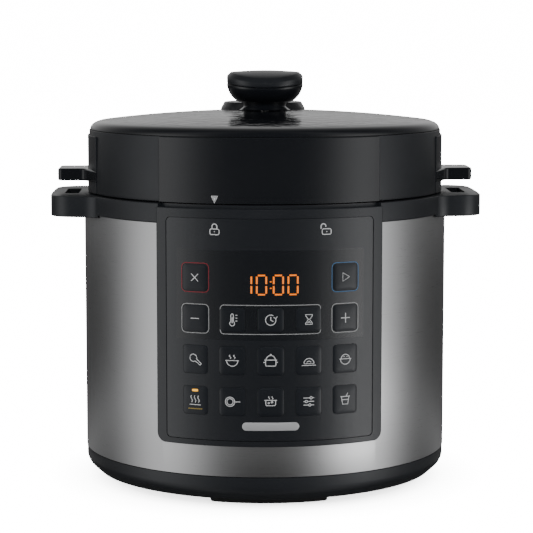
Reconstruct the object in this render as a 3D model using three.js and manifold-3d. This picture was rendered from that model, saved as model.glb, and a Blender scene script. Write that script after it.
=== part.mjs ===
// Electric pressure cooker with a turn-to-lock lid, a lift-out pot and a curved control panel.
// Millimetres, +Z up, the origin on the table under the cooker's centre. The front faces -Y.
import * as THREE from "three";
import { mergeVertices } from "three/addons/utils/BufferGeometryUtils.js";
import Module from "manifold-3d";

const wasm = await Module();
wasm.setup();

// ---- Driving dimensions ----------------------------------------------------
const SHELL_R = 135; // brushed steel skin, outside
const SHELL_WALL = 1;
const SHELL_Z = [24.3, 200.7];
const FOOT_HEIGHT = 5.7;
const COLLAR_R = 136.5;
const COLLAR_Z = [201, 214.5];
const EAR_REACH = 159; // tip of a side handle from the axis
const EAR_HALF_DEPTH = 52;
const EAR_SLOT = { x: 143.4, width: 10.5, depth: 43 };
const SKIRT_R = [131.8, 131]; // lid skirt, outside, at its foot and head
const SKIRT_Z = [215.3, 261];
const LID_PANEL_R = 134;
const DOME_APEX = 274.6;
const DOME_RADIUS = 1000;
const PANEL_HALF_ANGLE = 35.1; // the control panel, degrees each side of the front
const BEZEL_R = [132.5, 137.9];
const BEZEL_Z = [46.3, 212.3];
const FILM_HALF_ANGLE = 31.65;
const FILM_R = [136.3, 137.5];
const FILM_Z = [50.5, 205.6];
const BUTTON_FACE_R = 138.1;
const BUTTON_CAP = 2.5; // thickness of a button's cap
const COLUMN_ANGLES = [-22.3, -11.1, 0, 11.1, 22.3];
const ROW_Z = [164.3, 135.7, 107, 78.2];
const BOARD_Y = [-118.6, -117];
const SWITCH_HEIGHT = 4.3;
const POT_R = 110.8; // cooking pot, outside
const POT_WALL = 1.8;
const POT_Z = [61.3, 228.5];
const WELL_R = [112.3, 113.8]; // wall of the fixed well around the pot
const LUG_COUNT = 6; // bayonet lugs on the well and on the lid
const LUG_HALF_ANGLE = 11;
const VENT = { x: 0, y: 56 }; // steam vent, behind the knob
const FLOAT = { x: -17, y: 38 }; // float valve
const BOSS = { x: 0, y: 50, foot: 32, head: 29.6, top: 279.2 };
const KNOB_HALF = [28.4, 30]; // half width and half depth of the grip
const ROUND = 32; // facets round a large turned piece
const SMALL_ROUND = 16;
const CUP_Z = [150, 190]; // condensate cup, in its pocket at the rear
const CUP_HALF = 31;
const CUP_BACK = 118;
const CUP_FACE_R = [137.6, 140];
const GAP = 0.3; // between pieces that rest on each other

// ---- Solids ----------------------------------------------------------------
const degrees = THREE.MathUtils.degToRad;

function toSolid(geometry) {
  const bare = geometry.clone();
  bare.deleteAttribute("normal");
  bare.deleteAttribute("uv");
  const merged = mergeVertices(bare, 1e-4);
  const vertProperties = new Float32Array(merged.attributes.position.array);
  const triVerts = new Uint32Array(merged.index.array);
  return new wasm.Manifold(new wasm.Mesh({ numProp: 3, vertProperties, triVerts }));
}

function toGeometry(solid) {
  const mesh = solid.getMesh();
  const geometry = new THREE.BufferGeometry();
  geometry.setAttribute("position", new THREE.BufferAttribute(mesh.vertProperties, 3));
  geometry.setIndex(new THREE.BufferAttribute(mesh.triVerts, 1));
  geometry.computeVertexNormals();
  return geometry;
}

const joined = (first, ...rest) => rest.reduce((sum, piece) => sum.add(piece), first);
const cut = (first, ...tools) => tools.reduce((left, tool) => left.subtract(tool), first);

// Turned about Z from a closed outline of [radius, height] points.
function turned(outline, facets = ROUND) {
  const points = outline.map(([r, z]) => new THREE.Vector2(r, z));
  if (THREE.ShapeUtils.area(points) < 0) points.reverse();
  const onAxis = points.filter((p) => p.x === 0).length === 2;
  if (onAxis) {
    while (points[0].x !== 0 || points.at(-1).x !== 0) points.push(points.shift());
  } else {
    points.push(points[0].clone());
  }
  return toSolid(new THREE.LatheGeometry(points, facets).rotateX(Math.PI / 2));
}

function box(size, centre) {
  return toSolid(new THREE.BoxGeometry(...size).translate(...centre));
}

function boxBetween(low, high) {
  const size = high.map((v, i) => v - low[i]);
  return box(size, high.map((v, i) => (v + low[i]) / 2));
}

// Upright cylinder at (x, y) from z0 to z1.
function post(r, z0, z1, { x = 0, y = 0 } = {}, facets = SMALL_ROUND) {
  const geometry = new THREE.CylinderGeometry(r, r, z1 - z0, facets).rotateX(Math.PI / 2);
  return toSolid(geometry.translate(x, y, (z0 + z1) / 2));
}

function extruded(shape, z0, z1, curveSegments = 8) {
  const settings = { depth: z1 - z0, bevelEnabled: false, curveSegments };
  return toSolid(new THREE.ExtrudeGeometry(shape, settings).translate(0, 0, z0));
}

// Part of a ring, centred on the direction `centre` degrees round from the front.
function arcBlock(r0, r1, halfAngle, z0, z1, centre = 0, segments = 12) {
  const from = degrees(centre - 90 - halfAngle);
  const to = degrees(centre - 90 + halfAngle);
  const shape = new THREE.Shape();
  shape.absarc(0, 0, r1, from, to, false);
  shape.absarc(0, 0, r0, to, from, true);
  return extruded(shape, z0, z1, segments);
}

function roundedRectangle(x0, y0, x1, y1, radius, shape = new THREE.Shape()) {
  shape.moveTo(x0 + radius, y0);
  shape.lineTo(x1 - radius, y0);
  shape.absarc(x1 - radius, y0 + radius, radius, -Math.PI / 2, 0, false);
  shape.lineTo(x1, y1 - radius);
  shape.absarc(x1 - radius, y1 - radius, radius, 0, Math.PI / 2, false);
  shape.lineTo(x0 + radius, y1);
  shape.absarc(x0 + radius, y1 - radius, radius, Math.PI / 2, Math.PI, false);
  shape.lineTo(x0, y0 + radius);
  shape.absarc(x0 + radius, y0 + radius, radius, Math.PI, 1.5 * Math.PI, false);
  return shape;
}

// A rounded outline seen from the front, as a block that runs back from the front to the middle.
function frontBlock(halfWidth, z0, z1, radius) {
  const shape = roundedRectangle(-halfWidth, z0, halfWidth, z1, radius);
  const settings = { depth: 2 * SHELL_R, bevelEnabled: false, curveSegments: 3 };
  const geometry = new THREE.ExtrudeGeometry(shape, settings).rotateX(Math.PI / 2);
  return toSolid(geometry);
}

const halfWidthAt = (r, angle) => r * Math.sin(degrees(angle));

// Rings of a rounded outline stacked into one closed body. Each ring is [half width, z, sag],
// and sags in z by that much from its middle line to the knob's front and back.
function stacked(rings, depthRatio, facets = 28) {
  const power = 2 / 2.2;
  const positions = [];
  const index = [];
  const bend = (v) => Math.sign(v) * Math.abs(v) ** power;
  for (const [half, z, sag] of rings) {
    for (let i = 0; i < facets; i++) {
      const a = (2 * Math.PI * i) / facets;
      const y = half * depthRatio * bend(Math.sin(a));
      positions.push(half * bend(Math.cos(a)), y, z - sag * (y / KNOB_HALF[1]) ** 2);
    }
  }
  for (let ring = 0; ring < rings.length - 1; ring++) {
    for (let i = 0; i < facets; i++) {
      const a = ring * facets + i;
      const b = ring * facets + ((i + 1) % facets);
      index.push(a, b, b + facets, a, b + facets, a + facets);
    }
  }
  const foot = positions.length / 3;
  positions.push(0, 0, rings[0][1], 0, 0, rings.at(-1)[1]);
  const lastRing = (rings.length - 1) * facets;
  for (let i = 0; i < facets; i++) {
    const next = (i + 1) % facets;
    index.push(foot, next, i, foot + 1, lastRing + i, lastRing + next);
  }
  const geometry = new THREE.BufferGeometry();
  geometry.setAttribute("position", new THREE.Float32BufferAttribute(positions, 3));
  geometry.setIndex(index);
  return toSolid(geometry);
}

// ---- Materials -------------------------------------------------------------
const finish = (color, roughness, metalness = 0) =>
  new THREE.MeshStandardMaterial({ color, roughness, metalness });

const satinBlack = finish(0x1d1f21, 0.45);
const glossBlack = finish(0x0b0d0f, 0.15);
const filmBlack = finish(0x17191c, 0.35);
const brushedSteel = finish(0xb4b4b4, 0.35, 1);
const polishedSteel = finish(0xc8c8c8, 0.2, 1);
const aluminium = finish(0xa8aaac, 0.5, 1);
const coatedPot = finish(0x3a3b3d, 0.5, 0.3);
const silicone = finish(0xd8d8d2, 0.6);
const rubber = finish(0x121212, 0.85);
const clearPlastic = finish(0xd5dde0, 0.1);
const boardGreen = finish(0x1f5a36, 0.6);
const badgeSilver = finish(0xd2d4d6, 0.35, 0.4);
const displayBlack = finish(0x101010, 0.3);

const cooker = new THREE.Group();
const housing = new THREE.Group();
const lid = new THREE.Group();
cooker.add(housing, lid);

function part(parent, name, solid, material) {
  const mesh = new THREE.Mesh(toGeometry(solid), material);
  mesh.name = name;
  parent.add(mesh);
  return mesh;
}

// ---- Base and skin ---------------------------------------------------------
function base() {
  const floor = [6, 9];
  const cup = turned([
    [0, floor[0]], [124.5, floor[0]], [126.8, 7.2], [130.5, 10.5], [132.8, 12.6], [134.3, 16.2],
    [134.6, 24], [133.4, 24], [133.4, 30], [131.2, 30], [131.2, 15], [126, floor[1]], [0, floor[1]],
  ]);
  const vents = Array.from({ length: 10 }, (_, i) =>
    toSolid(new THREE.BoxGeometry(24, 4, 12).translate(62, 0, 7).rotateZ((i * Math.PI) / 5)),
  );
  const screwHoles = screwPlaces().map((at) => post(2.4, 0, 12, at, 10));
  return cut(cup, ...vents, ...screwHoles);
}

function screwPlaces() {
  const r = 88;
  return [30, 150, 270].map((a) => ({ x: r * Math.cos(degrees(a)), y: r * Math.sin(degrees(a)) }));
}

function baseScrew(at) {
  return joined(post(4, 3.4, 5.6, at, 12), post(1.9, 5, 13, at, 8));
}

const foot = (centre) => arcBlock(98, 112, 23, 0, FOOT_HEIGHT, centre, 6);

function steelShell() {
  const skin = turned([
    [SHELL_R, SHELL_Z[0]], [SHELL_R, SHELL_Z[1]],
    [SHELL_R - SHELL_WALL, SHELL_Z[1]], [SHELL_R - SHELL_WALL, SHELL_Z[0]],
  ], 48);
  const opening = halfWidthAt(SHELL_R, PANEL_HALF_ANGLE - 0.8);
  const panelOpening = frontBlock(opening, 50, 220, 4);
  const inletOpening = boxBetween([-17.5, 120, 29], [17.5, 140, 53]);
  const pocketOpening = boxBetween([-CUP_HALF - 2.6, 110, 147.4], [CUP_HALF + 2.6, 140, 197.2]);
  return cut(skin, panelOpening, inletOpening, pocketOpening);
}

// ---- Collar with its two side handles ---------------------------------------
function ear(side) {
  const shape = new THREE.Shape();
  const corner = 19;
  const root = 121.5;
  shape.moveTo(root, -EAR_HALF_DEPTH - 8.5);
  shape.quadraticCurveTo(129, -EAR_HALF_DEPTH - 1, 137, -EAR_HALF_DEPTH);
  shape.lineTo(EAR_REACH - corner, -EAR_HALF_DEPTH + 1);
  shape.quadraticCurveTo(EAR_REACH - 2, -EAR_HALF_DEPTH + 2, EAR_REACH - 1, -EAR_HALF_DEPTH + corner);
  shape.quadraticCurveTo(EAR_REACH + 0.7, 0, EAR_REACH - 1, EAR_HALF_DEPTH - corner);
  shape.quadraticCurveTo(EAR_REACH - 2, EAR_HALF_DEPTH - 2, EAR_REACH - corner, EAR_HALF_DEPTH - 1);
  shape.lineTo(137, EAR_HALF_DEPTH);
  shape.quadraticCurveTo(129, EAR_HALF_DEPTH + 1, root, EAR_HALF_DEPTH + 8.5);
  const x0 = EAR_SLOT.x - EAR_SLOT.width / 2;
  const y0 = EAR_SLOT.depth / 2;
  const slot = roundedRectangle(x0, -y0, x0 + EAR_SLOT.width, y0, 1.5, new THREE.Path());
  shape.holes.push(slot);
  const settings = { depth: COLLAR_Z[1] - 199, bevelEnabled: false, curveSegments: 3 };
  const geometry = new THREE.ExtrudeGeometry(shape, settings).translate(0, 0, 199);
  if (side < 0) geometry.rotateZ(Math.PI);
  const inside = turned([[0, 190], [133.3, 190], [133.3, 211.5], [0, 211.5]], 48);
  return cut(toSolid(geometry), inside, post(121, 180, 230, {}, ROUND));
}

function collar() {
  const [low, high] = COLLAR_Z;
  const ring = turned([
    [COLLAR_R, low], [COLLAR_R, high - 0.8], [COLLAR_R - 0.8, high], [119.5, high],
    [119.5, high - 3], [131, high - 3], [131, 198], [133.3, 198], [133.3, low],
  ], 48);
  const frontNotch = frontBlock(halfWidthAt(BEZEL_R[1], PANEL_HALF_ANGLE) + 0.6, 190, 220, 1);
  const keptWall = post(131.9, 180, 230, {}, 48);
  const spout = boxBetween([-5, 127.7, 193.5], [5, 131.6, 212]);
  const drain = boxBetween([-3.6, 128.5, 190], [3.6, 130.6, 220]);
  const skinGap = turned([
    [SHELL_R - 1.4, 180], [SHELL_R + 0.9, 180], [SHELL_R + 0.9, low], [SHELL_R - 1.4, low],
  ], 48);
  const whole = joined(ring, ear(1), ear(-1), spout);
  return cut(whole, frontNotch.subtract(keptWall), drain, skinGap);
}

// ---- Control panel -----------------------------------------------------------
function panelBezel() {
  const [inner, outer] = BEZEL_R;
  const flange = arcBlock(SHELL_R + 0.4, outer, 37, ...BEZEL_Z);
  const half = halfWidthAt(outer, PANEL_HALF_ANGLE);
  const squareTop = frontBlock(half, BEZEL_Z[1] - 30, BEZEL_Z[1], 1);
  const outline = joined(frontBlock(half, ...BEZEL_Z, 8), squareTop);
  const carrier = arcBlock(inner, FILM_R[0] - GAP, 33.6, 51, 209);
  const seatHalf = halfWidthAt(FILM_R[1], FILM_HALF_ANGLE) + 0.4;
  const filmSeat = frontBlock(seatHalf, FILM_Z[0] - 0.4, FILM_Z[1] + 0.4, 3.6);
  const seatDepth = arcBlock(FILM_R[0] - GAP, outer + 2, 36, 40, 220);
  const window = frontBlock(halfWidthAt(inner, 30.5), 54, 202.4, 3);
  const frame = joined(flange.intersect(outline), carrier);
  return cut(frame, filmSeat.intersect(seatDepth), window);
}

// name, column, row, width, height
const BUTTONS = [
  ["button_cancel", 0, 0, 18.6, 18.6],
  ["button_start", 4, 0, 18.6, 18.6],
  ["button_minus", 0, 1, 18.6, 18.4],
  ["button_temperature", 1, 1, 18, 17],
  ["button_delay", 2, 1, 18, 17],
  ["button_time", 3, 1, 18, 17],
  ["button_plus", 4, 1, 18.6, 18.4],
  ...["poultry", "soup", "stew", "aspic", "rice"].map((n, i) => ["button_" + n, i, 2, 18.4, 20]),
  ...["keep_warm", "fry", "simmer", "manual", "yoghurt"].map((n, i) => ["button_" + n, i, 3, 18.4, 20]),
];

function controlFilm() {
  const sheet = arcBlock(...FILM_R, 34, ...FILM_Z);
  const outline = frontBlock(halfWidthAt(FILM_R[1], FILM_HALF_ANGLE), ...FILM_Z, 3.2);
  const holes = BUTTONS.map(([, column, row, width, height]) => {
    const hole = new THREE.BoxGeometry(width + 0.7, 12, height + 0.7);
    hole.translate(0, -137, ROW_Z[row]).rotateZ(degrees(COLUMN_ANGLES[column]));
    return toSolid(hole);
  });
  return cut(sheet.intersect(outline), ...holes);
}

// A cap with a stem behind it, at the front; its column's group turns it into place.
function button(width, height, angle) {
  const stem = 5;
  const travel = 0.9;
  const reach = -BOARD_Y[0] + SWITCH_HEIGHT + travel;
  const stemEnd = reach / Math.cos(degrees(angle)) + (stem / 2) * Math.tan(degrees(Math.abs(angle)));
  const back = BUTTON_FACE_R - BUTTON_CAP;
  const cap = boxBetween([-width / 2, -BUTTON_FACE_R, -height / 2], [width / 2, -back, height / 2]);
  if (stemEnd > back - 0.5) return cap;
  return joined(cap, boxBetween([-stem / 2, -back - 1, -stem / 2], [stem / 2, -stemEnd, stem / 2]));
}

function addButtons() {
  const columns = COLUMN_ANGLES.map((angle) => {
    const column = new THREE.Group();
    column.rotation.z = degrees(angle);
    housing.add(column);
    return column;
  });
  for (const [name, column, row, width, height] of BUTTONS) {
    const solid = button(width, height, COLUMN_ANGLES[column]);
    part(columns[column], name, solid, filmBlack).position.z = ROW_Z[row];
  }
}

function controlBoard() {
  const board = boxBetween([-60, BOARD_Y[0], 60], [60, BOARD_Y[1], 190]);
  const switches = BUTTONS.map(([, column, row]) => {
    const x = (-BOARD_Y[0] + SWITCH_HEIGHT) * Math.tan(degrees(COLUMN_ANGLES[column]));
    const z = ROW_Z[row];
    return boxBetween([x - 3, BOARD_Y[0] - SWITCH_HEIGHT, z - 3], [x + 3, BOARD_Y[0] + 0.5, z + 3]);
  });
  return joined(board, ...switches);
}

const displayModule = () => boxBetween([-25, -133.2, 151], [25, BOARD_Y[0] - GAP, 169]);

function badgeStrip() {
  const strip = arcBlock(FILM_R[1] + GAP, FILM_R[1] + 0.9, 9, 55, 67, 0, 8);
  return strip.intersect(frontBlock(halfWidthAt(FILM_R[1], 8.3), 58.1, 63.9, 2.8));
}

// ---- Rear: power inlet and condensate cup -------------------------------------
function powerInlet() {
  const flange = boxBetween([-20, 135.4, 26.5], [20, 138, 55.5]);
  const body = boxBetween([-16.8, 117, 30.5], [16.8, 136, 52.4]);
  const socket = boxBetween([-12.4, 122, 33.4], [12.4, 140, 48.6]);
  const blades = [-7, 0, 7].map((x, i) => {
    const z = i === 1 ? 43.5 : 39;
    return boxBetween([x - 1, 121, z - 2], [x + 1, 134, z + 2]);
  });
  return joined(cut(joined(flange, body), socket), ...blades);
}

function cupPocket() {
  const wall = 1.5;
  const [low, high] = [CUP_Z[0] - 0.5, 195];
  const half = CUP_HALF + 0.6;
  const outside = boxBetween([-half - wall, CUP_BACK - 2, low - wall], [half + wall, 136, high + wall]);
  const bezel = arcBlock(SHELL_R + 0.4, CUP_FACE_R[0] - GAP, 15.6, low - 4, high + 5.4, 180, 6);
  const inside = boxBetween([-half, CUP_BACK - 0.5, low], [half, 150, high]);
  const drainHole = boxBetween([-5.6, 127, high - 1], [5.6, 132.2, high + 3]);
  return cut(joined(outside.intersect(post(136, 100, 220, {}, 48)), bezel), inside, drainHole);
}

function condensateCup() {
  const wall = 1.6;
  const [low, high] = CUP_Z;
  const tray = boxBetween([-CUP_HALF, CUP_BACK, low], [CUP_HALF, 139, high]);
  const hollow = boxBetween(
    [-CUP_HALF + wall, CUP_BACK + wall, low + wall], [CUP_HALF - wall, 131 - wall, high + 1],
  );
  const face = arcBlock(...CUP_FACE_R, 15.2, low - 3, 199, 180, 6);
  const fingerNotch = new THREE.CylinderGeometry(9, 9, 12, 16).translate(0, 139, 201);
  const body = joined(tray.intersect(post(138.6, 100, 220, {}, 48)), face);
  return cut(body, hollow, toSolid(fingerNotch));
}

// ---- Well, heater and electrics ------------------------------------------------
function lugs(r0, r1, z0, z1) {
  const pitch = 360 / LUG_COUNT;
  return Array.from({ length: LUG_COUNT }, (_, i) =>
    arcBlock(r0, r1, LUG_HALF_ANGLE, z0, z1, i * pitch, 3));
}

function outerPot() {
  const [inner, outer] = WELL_R;
  const well = turned([
    [60, 44.5], [outer - 1, 44.5], [outer, 45.5], [outer, 209.3], [127, 209.3], [127, 211.1],
    [outer, 211.1], [outer, 221], [115.6, 221], [115.6, 224.5], [inner, 224.5], [inner, 46], [60, 46],
  ]);
  return joined(well, ...lugs(115, 118.6, 221, 224.5));
}

const heatingPlate = () => turned([
  [13.5, 52], [58, 52], [59, 47.8], [67, 47.8], [68, 52], [86, 52], [88, 54], [88, 59.5],
  [86.5, 61], [13.5, 61],
], 32);

const temperatureSensor = () => turned([
  [0, 38], [4.5, 38], [4.5, 54], [12, 54], [12, 60.2], [11.2, 61], [0, 61],
], 24);

function sensorSpring() {
  const turns = 3;
  const low = 45.6;
  const high = 52.6;
  const steps = turns * 8;
  const points = Array.from({ length: steps + 1 }, (_, i) => {
    const a = (2 * Math.PI * turns * i) / steps;
    return new THREE.Vector3(6.6 * Math.cos(a), 6.6 * Math.sin(a), low + ((high - low) * i) / steps);
  });
  const wire = new THREE.Shape();
  wire.absarc(0, 0, 0.6, 0, 2 * Math.PI, false);
  const extrudePath = new THREE.CatmullRomCurve3(points);
  const settings = { steps, extrudePath, curveSegments: 3, bevelEnabled: false };
  return toSolid(new THREE.ExtrudeGeometry(wire, settings));
}

const sensorBracket = () => cut(boxBetween([-68, -8, 42.4], [68, 8, 44.2]), post(5.6, 40, 46, {}, 12));

function powerBoard() {
  const board = boxBetween([-52, -42, 13], [48, 42, 14.6]);
  const parts = [
    [[-46, -36, 14], [-18, -10, 34]], // transformer
    [[-8, -36, 14], [12, -20, 29]], // relay
    [[-44, 8, 14], [-26, 26, 26]], // capacitor bank
    [[24, 20, 14], [44, 36, 24]], // terminals
  ];
  return joined(board, ...parts.map(([low, high]) => boxBetween(low, high)));
}

const pressureSwitch = () => joined(
  boxBetween([24, -7, 27], [44, 7, 39]),
  post(3, 38, 42, { x: 34, y: 0 }, 12),
);

function thermalFuse() {
  const body = new THREE.CylinderGeometry(2.6, 2.6, 26, 12).rotateZ(Math.PI / 2);
  return toSolid(body.translate(-40, 24, 41.4));
}

const innerPot = () => turned([
  [0, POT_Z[0]], [98, POT_Z[0]], [104.5, 63.2], [109, 67.5], [POT_R, 73], [POT_R, 224.8], [114.4, 224.8],
  [115.1, 226.6], [114.2, POT_Z[1]], [110.2, POT_Z[1]], [POT_R - POT_WALL, 227.4], [POT_R - POT_WALL, 74],
  [107.4, 69], [103.5, 65.4], [97.5, 63.8], [0, 63.8],
]);

// ---- Lid -------------------------------------------------------------------------
const domeAt = (r) => DOME_APEX - (r * r) / (2 * DOME_RADIUS);

function lidCover() {
  const wall = 2.6;
  const outside = [3.6, 45, 85, 117].map((r) => [r, domeAt(r)]);
  const shoulder = [[124, 265.9], [128.6, 263.9], [130.4, 261.3]];
  const lip = [[128.4, 261.3], [128.4, 257.5], [126.4, 257.5], [126.4, 262.2], [121, 264.6]];
  const inside = [112, 60, 3.6].map((r) => [r, domeAt(r) - wall]);
  const shell = turned([...outside, ...shoulder, ...lip, ...inside]);
  const bossTaper = new THREE.CylinderGeometry(BOSS.head, BOSS.foot, BOSS.top - 270, 24).rotateX(Math.PI / 2);
  const boss = toSolid(bossTaper.translate(BOSS.x, BOSS.y, (BOSS.top + 270) / 2));
  const hollow = post(27.4, 260, BOSS.top - 2.6, BOSS, 24);
  return cut(joined(shell, boss), hollow, post(14, 260, 290, VENT, 20), post(3.7, 260, 290, FLOAT, 14));
}

function parkingStub(side) {
  const shape = new THREE.Shape();
  shape.moveTo(121, -45.8);
  shape.lineTo(124.6, -45.4);
  shape.lineTo(133.4, -22);
  shape.lineTo(134.6, -18.8);
  shape.lineTo(151, -18.2);
  shape.quadraticCurveTo(154, -18, 154, -15);
  shape.lineTo(154, 15);
  shape.quadraticCurveTo(154, 18, 151, 18.2);
  shape.lineTo(134.6, 18.8);
  shape.lineTo(133.4, 22);
  shape.lineTo(124.6, 45.4);
  shape.lineTo(121, 45.8);
  const settings = { depth: 9.1, bevelEnabled: false, curveSegments: 3 };
  const geometry = new THREE.ExtrudeGeometry(shape, settings).translate(0, 0, 223.2);
  if (side < 0) geometry.rotateZ(Math.PI);
  return toSolid(geometry).subtract(post(129.8, 200, 260, {}, ROUND));
}

function lidSkirt() {
  const [low, high] = SKIRT_Z;
  const wall = turned([
    [SKIRT_R[0], low], [SKIRT_R[1], high], [128.8, high], [129.1, 242.3], [114, 242.3],
    [114, 239.8], [129.1, 239.8], [129.4, low],
  ]);
  const panel = arcBlock(130.4, LID_PANEL_R, 37, low, high - 0.2);
  const outline = frontBlock(halfWidthAt(LID_PANEL_R, 35.2), low - 1, high + 1, 0.5);
  const sidePanels = [90, -90].map((centre) => arcBlock(130.4, 132.3, 20, low, high - 4, centre, 8));
  return joined(wall, panel.intersect(outline), parkingStub(1), parkingStub(-1), ...sidePanels);
}

function lidPlate() {
  const plate = turned([
    [3.8, 237.3], [3.8, 238.8], [121.5, 238.8], [123, 237.3], [123, 218.5], [121.4, 218.5], [121.4, 237.3],
  ]);
  const locking = lugs(119.2, 122, 218.5, 220.3);
  return cut(joined(plate, ...locking), post(4.5, 230, 245, VENT), post(3.3, 230, 245, FLOAT, 14));
}

const sealingRing = () => turned([
  [104.4, 229.6], [109.5, 228.9], [115.5, 229.2], [120.3, 231], [120.3, 236.7], [113, 236.7], [112, 232.8],
  [109.8, 232.8], [108.8, 236.7], [104.4, 236.7],
]);

function sealRack() {
  const wire = turned([[101.2, 231], [103.4, 231], [103.4, 233.2], [101.2, 233.2]]);
  const posts = Array.from({ length: 6 }, (_, i) =>
    toSolid(new THREE.BoxGeometry(1.8, 6, 5).translate(102.3, 0, 234.5).rotateZ((i * Math.PI) / 3)),
  );
  return joined(wire, ...posts);
}

const ventPipe = () => cut(
  joined(post(3.9, 230, 262, VENT), post(7, 239.1, 242, VENT)),
  post(1.6, 229, 263, VENT, 10),
);

function antiBlockShield() {
  const cap = cut(post(13, 227.4, 237, VENT, 24), post(11.8, 228.6, 238, VENT, 24));
  const ports = [0, 60, 120].map((a) => {
    const bar = new THREE.BoxGeometry(30, 3, 3.4).rotateZ(degrees(a)).translate(VENT.x, VENT.y, 232.5);
    return toSolid(bar);
  });
  return cut(cap, ...ports);
}

const valveWeight = () => cut(
  joined(post(8.5, 262.6, 272, VENT, 24), post(11, 258.5, 263, VENT, 24)),
  post(4.6, 250, 262.3, VENT),
);

const steamValveKnob = () => joined(
  cut(post(13, 272, 283.2, VENT, 24), post(11.4, 271, 280.6, VENT, 20)),
  boxBetween([VENT.x - 2.2, VENT.y - 10.5, 283], [VENT.x + 2.2, VENT.y + 10.5, 286.4]),
);

const floatValve = () => joined(post(2.6, 232.8, 278.6, FLOAT, 14), post(5.2, 231.2, 233.4, FLOAT, 16));

const lidScrew = () => joined(post(7, 234.3, 236.9, {}, 16), post(3, 236, 279, {}, 12));

const knobStem = () => cut(
  turned([
    [0, 275.7], [18.4, 275.7], [16.6, 276.5], [15.7, 277.4], [15.9, 278.6], [16.8, 279.7],
    [17.6, 280.3], [0, 280.3],
  ], 20),
  post(3.4, 270, 279.5, {}, 12),
);

const knobBody = () => stacked([
  [17.6, 280.5, 0], [19.4, 280.9, 0], [21.4, 281.9, 0], [23.2, 283.2, 0.2], [25, 285.3, 0.7],
  [26.6, 287.9, 1.3], [27.8, 290.9, 2.1], [KNOB_HALF[0], 294.5, 2.9],
], KNOB_HALF[1] / KNOB_HALF[0]);

const knobCap = () => stacked([
  [28.2, 294.8, 2.9], [KNOB_HALF[0], 295.4, 2.9], [28.2, 300.4, 4.6], [25.2, 303.1, 5.2],
  [19, 303.7, 5.2], [10, 304.1, 5.2], [3, 304.3, 5.2],
], KNOB_HALF[1] / KNOB_HALF[0]);

// ---- Assembly --------------------------------------------------------------------
part(housing, "base", base(), satinBlack);
["front", "right", "back", "left"].forEach((side, i) => part(housing, "foot_" + side, foot(90 * i), rubber));
screwPlaces().forEach((at, i) => part(housing, "base_screw_" + (i + 1), baseScrew(at), polishedSteel));
part(housing, "steel_shell", steelShell(), brushedSteel);
part(housing, "collar", collar(), satinBlack);
part(housing, "panel_bezel", panelBezel(), satinBlack);
part(housing, "control_film", controlFilm(), filmBlack);
part(housing, "badge_strip", badgeStrip(), badgeSilver);
part(housing, "display_module", displayModule(), displayBlack);
part(housing, "control_board", controlBoard(), boardGreen);
part(housing, "power_board", powerBoard(), boardGreen);
part(housing, "power_inlet", powerInlet(), satinBlack);
part(housing, "outer_pot", outerPot(), aluminium);
part(housing, "heating_plate", heatingPlate(), aluminium);
part(housing, "sensor_bracket", sensorBracket(), polishedSteel);
part(housing, "sensor_spring", sensorSpring(), polishedSteel);
part(housing, "temperature_sensor", temperatureSensor(), aluminium);
part(housing, "pressure_switch", pressureSwitch(), satinBlack);
part(housing, "thermal_fuse", thermalFuse(), silicone);
part(housing, "cup_pocket", cupPocket(), satinBlack);
part(housing, "condensate_cup", condensateCup(), clearPlastic);
addButtons();

part(cooker, "inner_pot", innerPot(), coatedPot);
part(lid, "sealing_ring", sealingRing(), silicone);
part(lid, "lid_cover", lidCover(), glossBlack);
part(lid, "lid_skirt", lidSkirt(), satinBlack);
part(lid, "lid_plate", lidPlate(), polishedSteel);
part(lid, "seal_rack", sealRack(), polishedSteel);
part(lid, "vent_pipe", ventPipe(), polishedSteel);
part(lid, "anti_block_shield", antiBlockShield(), polishedSteel);
part(lid, "valve_weight", valveWeight(), polishedSteel);
part(lid, "steam_valve_knob", steamValveKnob(), satinBlack);
part(lid, "float_valve", floatValve(), polishedSteel);
part(lid, "lid_screw", lidScrew(), polishedSteel);
part(lid, "knob_stem", knobStem(), glossBlack);
part(lid, "knob_body", knobBody(), glossBlack);
part(lid, "knob_cap", knobCap(), satinBlack);

export default cooker;
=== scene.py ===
"""Electric pressure cooker: the finished look of every piece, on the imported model's frame.

Metres, +Z up, the front faces -Y. Flat front pieces are made in the XZ plane and then
curved round the body, so a width across the front is an angle times a radius.
"""

import math
from contextlib import contextmanager
from functools import cache

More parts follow.
